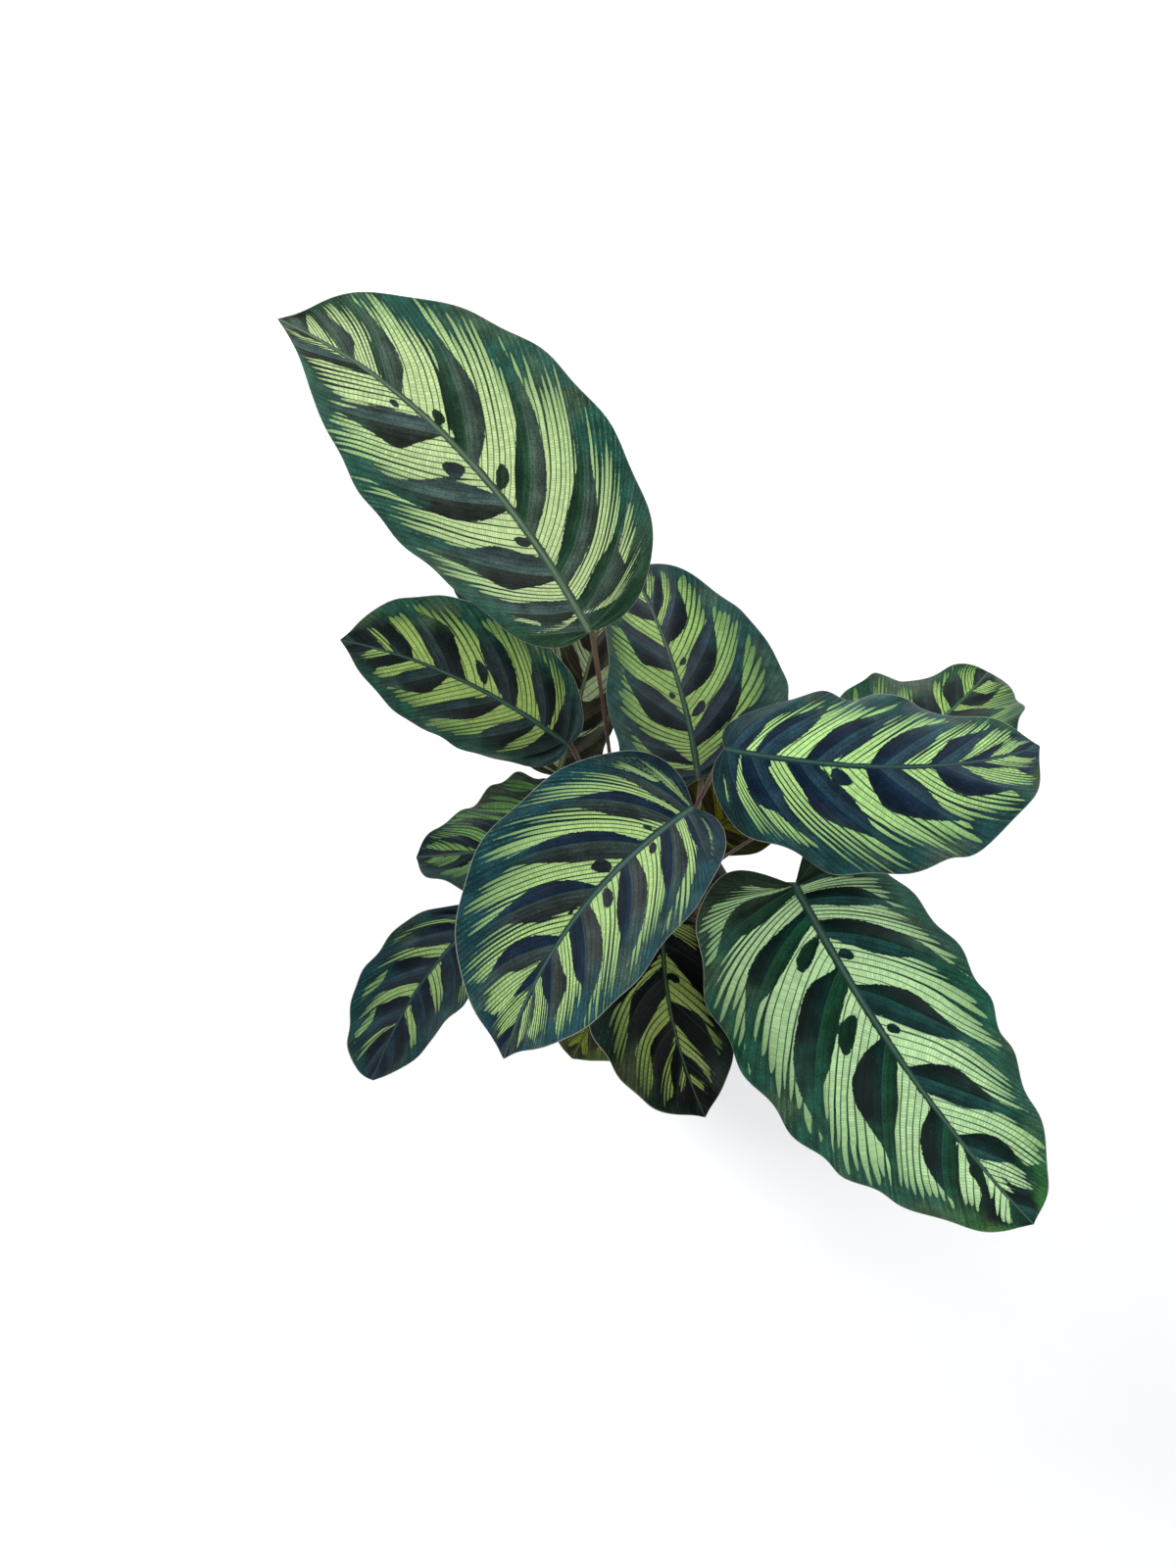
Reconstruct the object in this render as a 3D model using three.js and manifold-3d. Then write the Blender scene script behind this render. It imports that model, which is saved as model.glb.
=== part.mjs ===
// A peacock plant in a plain nursery pot: fourteen patterned leaves, each on its own stalk.
// Millimetres, +Z up. The origin is the middle of the pot's underside.
import * as THREE from "three";
import { mergeVertices } from "three/addons/utils/BufferGeometryUtils.js";
import Module from "manifold-3d";

const wasm = await Module();
wasm.setup();

// Driving dimensions

const gap = 0.3;
const stalkHoleGap = 0.45;
const stalkTopGap = 0.8;

const potHeight = 104;
const potBottomRadius = 38;
const potTopRadius = 52;
const potWall = 1.6;
const potFloor = 2.2;
const rimHeight = 9;
const rimRadius = 55;
const edgeRound = 1.2;
const drainHoleCount = 6;
const drainHoleRadius = 4.5;
const drainHoleSides = 16;
const drainCircleRadius = 26;
const turnedSides = 48;

const soilEdgeHeight = 90;
const soilMound = 4.5;
const stalkDepth = 14;

const bladeThickness = 0.8;
const rowsPerRuffle = 4;
const bladeShares = [1, 0.75, 0.4, 0, -0.4, -0.75, -1];
const lobeFade = 5;
const beakSharpness = 8;
const veinCrowding = 2.6;
const veinStraightness = 0.4;

const stalkRadius = 1.5;
const sheathSwell = 0.8;
const sheathShare = 0.1;
const jointSwell = 0.5;
const jointStart = 0.9;
const stalkSteps = 11;
const stalkOutwardLean = 0.35;
const stalkRiseShare = 0.45;
const stalkArrivalShare = 0.35;

// The leaves
//
// base, bend and tip are the three points of the midrib's curve, and foot is where the stalk meets the
// root ball. Pairs are for the left and the right half, seen from the stalk with the upper face up.
// halfWidth is in mm, tilt and twist are the blade's roll about its midrib in degrees. widest under 1
// moves the widest place to the stalk's end, heart sets the lobes beside the stalk back and beak draws
// the tip out, as shares of the length. fold is the slope of each half, and curl how far it bows down.
// A wave lifts the margin by rise, and a ruffle moves it in and out by size, both in mm, count times
// along the blade. lean and sway bend the stalk aside where a straight one would meet another leaf.
const leaves = [
  {
    name: "upper_left",
    base: [-26, 45, 332], bend: [-70, 112, 380], tip: [-147, 163, 368], foot: [-8, 12],
    halfWidth: [45, 47], widest: 0.89, heart: 0.1, beak: 0.07,
    tilt: -34, twist: 5, fold: -0.15, curl: 0.24,
    wave: { rise: 5, count: 1.5, phase: [0.35, 0.7] },
    ruffle: { size: 0.7, count: 5, phase: [0.8, 0.5] },
    sway: [-5, 0],
  },
  {
    name: "left",
    base: [-35, 28, 265], bend: [-81, 58, 283], tip: [-135, 76, 270], foot: [-15, 7],
    halfWidth: [32, 32], widest: 0.97, heart: 0.14, beak: 0.05,
    tilt: -44, twist: 6, fold: 0, curl: 0.25,
    wave: { rise: 1.4, count: 3, phase: [0.05, 0.05] },
    ruffle: { size: 0.4, count: 5.5, phase: [0.85, 0.45] },
  },
  {
    name: "upper_middle",
    base: [19, 8, 275], bend: [15, 71, 263], tip: [-7, 129, 246], foot: [8, 9],
    halfWidth: [40, 42], widest: 0.78, heart: 0.17, beak: 0.03,
    tilt: -29, twist: 10, fold: -0.07, curl: 0.34,
    wave: { rise: 3, count: 3, phase: [0.5, 0.45] },
    ruffle: { size: 0.3, count: 5.5, phase: [0.5, 0.4] },
  },
  {
    name: "back_right",
    base: [92, 17, 250], bend: [136, 50, 243], tip: [167, 88, 216], foot: [21, 0],
    halfWidth: [38, 38], widest: 0.7, heart: 0.17, beak: 0.01,
    tilt: -9, twist: -18, fold: 0.17, curl: 0.04,
    wave: { rise: 5, count: 1.8, phase: [0.4, 0.1] },
    ruffle: { size: 1, count: 4.7, phase: [0.75, 0.8] },
    lean: [1, 0.2],
    sway: [-3, 0],
  },
  {
    name: "right",
    base: [25, 4, 315], bend: [96, -17, 328], tip: [154, 15, 293], foot: [12, -5],
    halfWidth: [37, 37], widest: 0.93, heart: 0.19, beak: 0.04,
    tilt: 1, twist: 2, fold: -0.15, curl: 0.3,
    wave: { rise: 4, count: 2.9, phase: [0.45, 0.55] },
    ruffle: { size: 1.1, count: 4.7, phase: [0.7, 0.65] },
    lean: [0.4, 0.45],
    sway: [0, -6],
  },
  {
    name: "centre",
    base: [13, -18, 310], bend: [-39, -53, 306], tip: [-58, -106, 278], foot: [3, -9],
    halfWidth: [41, 44], widest: 0.91, heart: 0.25, beak: 0.06,
    tilt: 15, twist: 5, fold: 0.3, curl: -0.04,
    wave: { rise: 1.4, count: 2, phase: [0.45, 0.05] },
    ruffle: { size: 0.6, count: 4, phase: [0.05, 0.1] },
  },
  {
    name: "middle_left",
    base: [-22, 0, 236], bend: [-59, -16, 253], tip: [-101, -14, 239], foot: [-11, -2],
    halfWidth: [29, 30], widest: 0.8, heart: 0.18, beak: 0.02,
    tilt: 9, twist: 8, fold: 0.2, curl: -0.03,
    wave: { rise: 4, count: 1.6, phase: [0.9, 0.55] },
    ruffle: { size: 1.2, count: 5, phase: [0.65, 0.25] },
  },
  {
    name: "lower_left",
    base: [-71, -34, 225], bend: [-107, -59, 205], tip: [-123, -101, 186], foot: [-19, -9],
    halfWidth: [29, 29], widest: 0.96, heart: 0.04, beak: 0.01,
    tilt: -54, twist: 0, fold: 0.14, curl: 0.2,
    wave: { rise: 1.2, count: 3, phase: [0.7, 0] },
    ruffle: { size: 0.4, count: 5.8, phase: [0.05, 0.3] },
  },
  {
    name: "lower_middle",
    base: [5, -40, 246], bend: [1, -84, 253], tip: [20, -123, 240], foot: [1, -18],
    halfWidth: [32, 33], widest: 0.9, heart: 0.16, beak: 0.04,
    tilt: -10, twist: -2, fold: 0.08, curl: 0.18,
    wave: { rise: 2.7, count: 2.4, phase: [0.75, 0.5] },
    ruffle: { size: 0.6, count: 5.4, phase: [0.6, 0.2] },
  },
  {
    name: "lower_right",
    base: [55, -38, 278], bend: [95, -115, 259], tip: [155, -162, 212], foot: [17, -13],
    halfWidth: [46, 53], widest: 0.84, heart: 0.6, beak: 0.03,
    tilt: 1, twist: 25, fold: 0, curl: 0.3,
    wave: { rise: 5, count: 1.9, phase: [0.4, 0.2] },
    ruffle: { size: 1.3, count: 6.8, phase: [0.45, 0.55] },
  },
  {
    name: "low_front",
    base: [-8, -37, 193], bend: [-19, -64, 192], tip: [-34, -88, 164], foot: [-8, -17],
    halfWidth: [28, 27], widest: 0.85, heart: 0.15, beak: 0.02,
    tilt: 0, twist: 0, fold: 0.1, curl: 0.1,
    wave: { rise: 2.5, count: 2.5, phase: [0.2, 0.6] },
    ruffle: { size: 0.8, count: 5, phase: [0.1, 0.5] },
  },
  {
    name: "low_back",
    base: [-41, 42, 196], bend: [-28, 80, 222], tip: [-18, 122, 225], foot: [-14, 19],
    halfWidth: [30, 20], widest: 0.85, heart: 0.14, beak: 0.04,
    tilt: -10, twist: 0, fold: 0.1, curl: 0.1,
    wave: { rise: 2.5, count: 2.5, phase: [0.2, 0.3] },
    ruffle: { size: 0.8, count: 5, phase: [0.1, 0.5] },
  },
  {
    name: "low_right",
    base: [34, 20, 180], bend: [76, 44, 193], tip: [116, 72, 187], foot: [17, 12],
    halfWidth: [34, 22], widest: 0.75, heart: 0.3, beak: 0.04,
    tilt: 8, twist: 0, fold: 0.1, curl: 0.1,
    wave: { rise: 2, count: 2, phase: [0.4, 0.05] },
    ruffle: { size: 0.8, count: 4.5, phase: [0.1, 0.4] },
  },
  {
    name: "low_left",
    base: [-40, 94, 199], bend: [-71, 132, 225], tip: [-97, 174, 227], foot: [-4, 23],
    halfWidth: [21, 27], widest: 0.9, heart: 0.15, beak: 0.04,
    tilt: -6, twist: 0, fold: 0.1, curl: 0.1,
    wave: { rise: 2.5, count: 2.5, phase: [0.9, 0.2] },
    ruffle: { size: 0.8, count: 5, phase: [0.1, 0.5] },
  },
];

// Materials

const leafGreen = new THREE.MeshStandardMaterial({ color: 0x4f7a45, roughness: 0.45, metalness: 0 });
const stalkRed = new THREE.MeshStandardMaterial({ color: 0x4a1f1a, roughness: 0.5, metalness: 0 });
const potBlack = new THREE.MeshStandardMaterial({ color: 0x1d1e1f, roughness: 0.55, metalness: 0 });
const soilBrown = new THREE.MeshStandardMaterial({ color: 0x2c2019, roughness: 0.95, metalness: 0 });

// Solids for cutting

function bare(geometry) {
  geometry.deleteAttribute("normal");
  geometry.deleteAttribute("uv");
  return mergeVertices(geometry, 1e-4);
}

function toSolid(geometry) {
  const merged = bare(geometry);
  const corners = merged.index.array;
  const whole = [];
  for (let i = 0; i < corners.length; i += 3) {
    const [a, b, c] = corners.slice(i, i + 3);
    if (a !== b && b !== c && c !== a) {
      whole.push(a, b, c);
    }
  }
  const vertProperties = new Float32Array(merged.getAttribute("position").array);
  const triVerts = new Uint32Array(whole);
  return new wasm.Manifold(new wasm.Mesh({ numProp: 3, vertProperties, triVerts }));
}

function toGeometry(solid) {
  const mesh = solid.getMesh();
  const geometry = new THREE.BufferGeometry();
  geometry.setAttribute("position", new THREE.BufferAttribute(mesh.vertProperties, 3));
  geometry.setIndex(new THREE.BufferAttribute(mesh.triVerts, 1));
  geometry.computeVertexNormals();
  return geometry;
}

// A round body from its profile of radius and height
function turned(profile) {
  const points = profile.map(([radius, height]) => new THREE.Vector2(radius, height));
  return new THREE.LatheGeometry(points, turnedSides).rotateX(Math.PI / 2);
}

// Blades

// The midrib's place and the blade's directions there: left, and up off the upper face
function midribAt(leaf, along) {
  const base = new THREE.Vector3(...leaf.base);
  const bend = new THREE.Vector3(...leaf.bend);
  const tip = new THREE.Vector3(...leaf.tip);
  const rest = 1 - along;
  const place = base.clone().multiplyScalar(rest * rest);
  place.addScaledVector(bend, 2 * along * rest);
  place.addScaledVector(tip, along * along);
  const forward = bend.clone().sub(base).multiplyScalar(rest);
  forward.addScaledVector(tip.clone().sub(bend), along).normalize();
  const level = new THREE.Vector3(0, 0, 1).cross(forward).normalize();
  const roll = THREE.MathUtils.degToRad(leaf.tilt + leaf.twist * along);
  const left = level.applyAxisAngle(forward, roll);
  const up = forward.clone().cross(left);
  return { place, forward, left, up };
}

function swing(count, along, phase) {
  return Math.sin(2 * Math.PI * (count * along + phase));
}

// One point of the blade: turn runs from 0 at the stalk to 1 at the tip along the margin, and share
// from 0 at the midrib to 1 at the left margin or -1 at the right one. Veins join equal turns.
function bladePoint(leaf, turn, share) {
  const half = share < 0 ? 1 : 0;
  const out = Math.abs(share);
  const bulge = Math.sin(Math.PI * turn);
  const middle = 0.5 * (1 - Math.cos(Math.PI * turn));
  const lobe = leaf.heart * bulge * Math.exp(-lobeFade * turn);
  const beak = turn > 0.5 ? leaf.beak * (1 - bulge) ** beakSharpness : 0;
  const marginAlong = (middle - lobe + beak) / (1 + leaf.beak);
  const calmEnds = 1 - (1 - bulge) ** 3;
  const wave = calmEnds * swing(leaf.wave.count, middle, leaf.wave.phase[half]);
  const ruffle = calmEnds * swing(leaf.ruffle.count, middle, leaf.ruffle.phase[half]);
  const width = leaf.halfWidth[half];
  const marginAcross = width * Math.sin(Math.PI * turn ** leaf.widest) + leaf.ruffle.size * ruffle;
  const veinStart = middle ** veinCrowding;
  const veinSweep = veinStraightness * out + (1 - veinStraightness) * out * out;
  const along = veinStart + (marginAlong - veinStart) * veinSweep;
  const across = marginAcross * out;
  const bow = leaf.fold * across - (leaf.curl * across * across) / width;
  const height = bow + leaf.wave.rise * out * out * wave;
  const { place, left, up } = midribAt(leaf, along);
  place.addScaledVector(left, Math.sign(share) * across);
  place.addScaledVector(up, height);
  return { place, up };
}

// A thin closed blade with its two faces split into triangles alike
function bladeGeometry(leaf) {
  const rowCount = Math.ceil(rowsPerRuffle * leaf.ruffle.count);
  const positions = [];
  const rows = [];
  for (let row = 0; row <= rowCount; row++) {
    const atEnd = row === 0 || row === rowCount;
    const shares = atEnd ? [0] : bladeShares;
    rows.push(shares.map((share) => {
      const { place, up } = bladePoint(leaf, row / rowCount, share);
      const upper = place.clone().addScaledVector(up, bladeThickness / 2);
      const lower = place.clone().addScaledVector(up, -bladeThickness / 2);
      positions.push(...upper, ...lower);
      return positions.length / 6 - 1;
    }));
  }
  const last = bladeShares.length - 1;
  const upperAt = (row, column) => 2 * rows[row][Math.min(column, rows[row].length - 1)];
  const lowerAt = (row, column) => upperAt(row, column) + 1;
  const faces = [];
  const addFace = (a, b, c) => {
    if (a !== b && b !== c && c !== a) {
      faces.push(a, b, c);
    }
  };
  for (let row = 0; row < rowCount; row++) {
    for (let column = 0; column < last; column++) {
      for (const [at, mirrored] of [[upperAt, false], [lowerAt, true]]) {
        const near = at(row, column);
        const nearNext = at(row, column + 1);
        const farNext = at(row + 1, column + 1);
        const far = at(row + 1, column);
        if (mirrored) {
          addFace(near, farNext, nearNext);
          addFace(near, far, farNext);
        } else {
          addFace(near, nearNext, farNext);
          addFace(near, farNext, far);
        }
      }
    }
    addFace(upperAt(row, 0), upperAt(row + 1, 0), lowerAt(row + 1, 0));
    addFace(upperAt(row, 0), lowerAt(row + 1, 0), lowerAt(row, 0));
    addFace(upperAt(row + 1, last), upperAt(row, last), lowerAt(row, last));
    addFace(upperAt(row + 1, last), lowerAt(row, last), lowerAt(row + 1, last));
  }
  const geometry = new THREE.BufferGeometry();
  geometry.setAttribute("position", new THREE.Float32BufferAttribute(positions, 3));
  geometry.setIndex(faces);
  geometry.computeVertexNormals();
  return geometry;
}

// Stalks

const roundSection = new THREE.Shape().absarc(0, 0, 1, 0, 2 * Math.PI, false);

// The stalk's curve, from its foot in the soil, let down by drop, to just under the blade
function stalkPath(leaf, drop) {
  const { place, forward, up } = midribAt(leaf, 0);
  const outward = new THREE.Vector3(forward.x, forward.y, 0).setLength(stalkOutwardLean);
  const lean = leaf.lean ? new THREE.Vector3(...leaf.lean, 0) : outward;
  const rising = new THREE.Vector3(0, 0, 1).add(lean).normalize();
  const slant = Math.sqrt(1 - rising.dot(up) ** 2);
  const clearance = bladeThickness / 2 + stalkTopGap + (stalkRadius + jointSwell) * slant;
  const top = place.addScaledVector(up, -clearance);
  const foot = new THREE.Vector3(...leaf.foot, soilEdgeHeight + soilMound - stalkDepth - drop);
  const reach = top.distanceTo(foot);
  const sway = new THREE.Vector3(...(leaf.sway ?? [0, 0]), 0);
  const aboveFoot = foot.clone().add(sway);
  aboveFoot.z += stalkRiseShare * reach;
  const belowTop = top.clone().add(sway).addScaledVector(rising, -stalkArrivalShare * reach);
  return new THREE.CubicBezierCurve3(foot, aboveFoot, belowTop, top);
}

// A sheath thickens the stalk's foot, and a swollen joint its top
function stalkRadiusAt(share) {
  const sheath = sheathSwell * Math.exp(-share / sheathShare);
  const joint = share > jointStart ? jointSwell : 0;
  return stalkRadius + sheath + joint;
}

// The stalk's body, or the space that it needs when its gap is more than 0
function stalkGeometry(leaf, around = 0) {
  const path = stalkPath(leaf, around);
  const options = { steps: stalkSteps, curveSegments: 4, bevelEnabled: false, extrudePath: path };
  const tube = new THREE.ExtrudeGeometry(roundSection, options);
  const centres = path.getSpacedPoints(stalkSteps);
  const position = tube.getAttribute("position");
  const corner = new THREE.Vector3();
  for (let i = 0; i < position.count; i++) {
    corner.fromBufferAttribute(position, i);
    const distances = centres.map((centre) => centre.distanceTo(corner));
    const ring = distances.indexOf(Math.min(...distances));
    const radius = stalkRadiusAt(ring / stalkSteps) + around;
    corner.sub(centres[ring]).multiplyScalar(radius).add(centres[ring]);
    position.setXYZ(i, corner.x, corner.y, corner.z);
  }
  return tube;
}

// Pot

function potInnerRadius(height) {
  const wallTop = potHeight - rimHeight;
  const slope = (potTopRadius - potBottomRadius) / wallTop;
  return potBottomRadius + slope * Math.min(height, wallTop) - potWall;
}

function potGeometry() {
  const wallTop = potHeight - rimHeight;
  const profile = [
    [0, 0],
    [potBottomRadius - edgeRound, 0],
    [potBottomRadius, edgeRound],
    [potTopRadius, wallTop],
    [rimRadius - edgeRound, wallTop],
    [rimRadius, wallTop + edgeRound],
    [rimRadius, potHeight - edgeRound],
    [rimRadius - edgeRound, potHeight],
    [potInnerRadius(wallTop) + edgeRound, potHeight],
    [potInnerRadius(wallTop), potHeight - edgeRound],
    [potInnerRadius(wallTop), wallTop],
    [potInnerRadius(potFloor), potFloor],
    [0, potFloor],
  ];
  let pot = toSolid(turned(profile));
  for (let i = 0; i < drainHoleCount; i++) {
    const angle = (2 * Math.PI * i) / drainHoleCount;
    const hole = new THREE.CylinderGeometry(
      drainHoleRadius,
      drainHoleRadius,
      4 * potFloor,
      drainHoleSides,
    );
    hole.rotateX(Math.PI / 2);
    hole.translate(drainCircleRadius * Math.cos(angle), drainCircleRadius * Math.sin(angle), 0);
    pot = pot.subtract(toSolid(hole));
  }
  return toGeometry(pot);
}

// Soil, with a plain hole for each stalk
function soilGeometry() {
  const bottom = potFloor + gap;
  const edge = potInnerRadius(soilEdgeHeight) - gap;
  const profile = [
    [0, bottom],
    [potInnerRadius(bottom) - gap, bottom],
    [edge, soilEdgeHeight],
    [0.8 * edge, soilEdgeHeight + 0.5 * soilMound],
    [0.5 * edge, soilEdgeHeight + 0.9 * soilMound],
    [0, soilEdgeHeight + soilMound],
  ];
  let soil = toSolid(turned(profile));
  for (const leaf of leaves) {
    soil = soil.subtract(toSolid(stalkGeometry(leaf, stalkHoleGap)));
  }
  return toGeometry(soil);
}

// The whole plant

const plant = new THREE.Group();

function addPiece(name, geometry, material) {
  const mesh = new THREE.Mesh(geometry, material.clone());
  mesh.name = name;
  plant.add(mesh);
}

addPiece("pot", potGeometry(), potBlack);
addPiece("soil", soilGeometry(), soilBrown);
for (const leaf of leaves) {
  addPiece(`stalk_${leaf.name}`, stalkGeometry(leaf), stalkRed);
  addPiece(`leaf_${leaf.name}`, bladeGeometry(leaf), leafGreen);
}

export default plant;
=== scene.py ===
import math
from types import SimpleNamespace

import bmesh
import bpy
import numpy as np
from mathutils import Matrix, Vector


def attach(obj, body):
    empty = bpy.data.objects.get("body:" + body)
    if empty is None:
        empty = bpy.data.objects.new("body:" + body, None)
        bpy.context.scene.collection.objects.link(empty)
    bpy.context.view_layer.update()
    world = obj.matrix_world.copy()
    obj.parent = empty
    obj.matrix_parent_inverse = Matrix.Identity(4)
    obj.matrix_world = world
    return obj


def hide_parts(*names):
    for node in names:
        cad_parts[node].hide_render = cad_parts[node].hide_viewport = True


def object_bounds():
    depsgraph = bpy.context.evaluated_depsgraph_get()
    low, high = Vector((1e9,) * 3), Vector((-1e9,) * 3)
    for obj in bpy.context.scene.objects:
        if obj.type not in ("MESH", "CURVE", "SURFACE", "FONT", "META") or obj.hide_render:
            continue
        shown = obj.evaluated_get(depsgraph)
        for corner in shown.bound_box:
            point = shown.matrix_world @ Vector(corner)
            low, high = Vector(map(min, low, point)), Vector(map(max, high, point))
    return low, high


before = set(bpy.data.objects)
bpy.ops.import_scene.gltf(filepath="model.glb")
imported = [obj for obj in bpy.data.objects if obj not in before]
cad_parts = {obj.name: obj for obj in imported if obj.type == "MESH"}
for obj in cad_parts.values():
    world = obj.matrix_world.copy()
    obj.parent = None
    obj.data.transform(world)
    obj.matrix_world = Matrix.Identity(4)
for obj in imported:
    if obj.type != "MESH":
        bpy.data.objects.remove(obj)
solid_low, solid_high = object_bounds()

MM = 0.001

# The camera, placed for the photograph's view: its place in mm, and its assumed focal length in pixels
CAMERA_PLACE = (-26.6, -175.6, 724.3)
CAMERA_PITCH_DEG = 22.0
CAMERA_FOCAL_PX = 1202.0
PHOTO_HEIGHT_PX = 1600.0
FILM_MM = 36.0

# Blades, thinner than the solids
THICKNESS = 0.5
EDGE_THICKNESS = 0.22
LOBE_FADE = 5.0
BEAK_SHARPNESS = 8.0
VEIN_CROWDING = 2.6
VEIN_STRAIGHTNESS = 0.4
PLEAT_HEIGHT = 0.6
RIB_HALF_WIDTH = 0.85
RIB_RISE = 0.25
RIB_DROP = 1.1
RIB_TAPER = 0.72
BAND_FRINGE = 0.07

# Stalks: the solids' numbers, how much slimmer they are here, and the neck that runs on under the blade
SOLID_BLADE = 0.8
STALK_TOP_GAP = 0.8
STALK_RADIUS = 1.5
STALK_SLIMNESS = 0.54
SHEATH_SWELL = 0.8
SHEATH_SHARE = 0.1
JOINT_SWELL = 0.5
JOINT_START = 0.9
OUTWARD_LEAN = 0.35
RISE_SHARE = 0.45
ARRIVAL_SHARE = 0.35
STALK_DEPTH = 14.0
STALK_STEPS = 64
STALK_SIDES = 16
JOINT_SOFTNESS = 0.008
NECK_STEPS = 9
NECK_LENGTH = 7.0
NECK_DROP = 1.1
NECK_END_RADIUS = 0.8
NECK_PULLS = (1.6, 4.0)

# Pot and soil, as in the solids
POT_HEIGHT = 104.0
POT_BOTTOM_RADIUS = 38.0
POT_TOP_RADIUS = 52.0
POT_WALL = 1.6
POT_FLOOR = 2.2
RIM_HEIGHT = 9.0
RIM_RADIUS = 55.0
DRAIN_HOLES = 6
DRAIN_RADIUS = 4.5
DRAIN_CIRCLE = 26.0
ROUNDING = 1.2
ROUNDING_MIDDLE = 0.35
SOIL_EDGE_HEIGHT = 90.0
SOIL_MOUND = 4.5
SOIL_GAP = 0.3
CRUMBS = 1500

# Shares of a half's width at which the edges of a light band and the primary veins are given
BAND_SHARES = (0.1, 0.3, 0.5, 0.7, 0.85)
VEIN_SHARES = (0.0, 0.5, 1.0)

# Where a light band starts and ends across a half if it says nothing else, in thousandths
BAND_START = 35
BAND_END = 900

# The primary veins are counted from the stalk, and on from RIGHT_HALF on the right half
BASE_VEINS = 3
TIP_VEINS = 2.0
RIGHT_HALF = 20

# The leaf's skin. Teeth are how far cells or strips stand out of line, in mm along a band's sides and as
# a share of a strip's run at its end. A blur is where an edge in the pattern starts and ends.
VEIN_WAVER = 0.05
VEINLET_PITCH = 0.85
VEINLET_SHIFT = 9
STRIP_SEED = 3.7
LINE_SEED = 8.3
SIDE_TEETH = 0.4
SIDE_REST = 0.16
END_TEETH = 0.26
END_REST = 0.12
WEDGE_START = 0.14
WEDGE_SPREAD = 0.8
WEDGE_ROUNDNESS = 0.55
WEDGE_WIDEST = 1.6
WEDGE_TEETH = 0.22
BAND_BLUR = (-0.22, 0.1)
LEAST_STRIP = 0.6
LINE_WIDTHS = (0.34, 0.1)
LINE_BLUR = (0.22, 0.06)
VEIN_BLUR = (0.26, 0.08)
NOISE_SPAN = (0.3, 0.7)
DRY_MARGIN = (84, 92, 60)
SPECK = (170, 176, 176)
EDGE = (150, 154, 136)
WINE, WINE_BAND = (74, 26, 40), (112, 78, 74)
WINE_LINE, WINE_RIB = (60, 20, 32), (128, 88, 80)

# The room, in metres
FLOOR_REACH = 6.0
LIGHT_AIM = (0, 0, 0.25)


def fractions(thousandths):
    return tuple(value / 1000 for value in thousandths)


def band(near, far, end=BAND_END, start=BAND_START):
    """A light band between two primary veins: its edges towards the stalk and towards the tip."""
    return {"near": fractions(near), "far": fractions(far), "end": end / 1000, "start": start / 1000}


def half(veins, spots, *bands):
    """One half's markings, in thousandths of the turn from stalk to tip or of the half's width.

    A vein has its turns at the midrib, half way out and at the margin. A spot has its turn, the shares
    at which it starts and ends, and its size.
    """
    return {"veins": [fractions(v) for v in veins], "spots": [fractions(v) for v in spots], "bands": bands}


PLAIN_HALF = half(
    [(330, 320, 310), (450, 460, 480), (570, 590, 620), (680, 700, 740), (780, 840, 910)],
    [(510, 30, 160, 10), (630, 40, 180, 10)],
    band((250, 230, 220, 220), (290, 270, 260, 280), end=800),
    band((360, 370, 360, 360, 380), (420, 410, 410, 440, 460)),
    band((480, 490, 490, 490, 510), (540, 530, 540, 580, 600)),
    band((600, 620, 620, 620, 650), (660, 650, 660, 700, 720)),
    band((700, 730, 740, 760), (760, 760, 780, 820), end=800),
    band((800, 830, 850), (860, 880, 890), end=600),
)

# What the low leaves have in common
LOW_LEAF = dict(
    beak=0.04, twist=0, fold=0.1, curl=0.1, ruffle=(0.8, 5, (0.1, 0.5)),
    strips=8, rows=110, columns=24, left=PLAIN_HALF, right=PLAIN_HALF,
)

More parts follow.
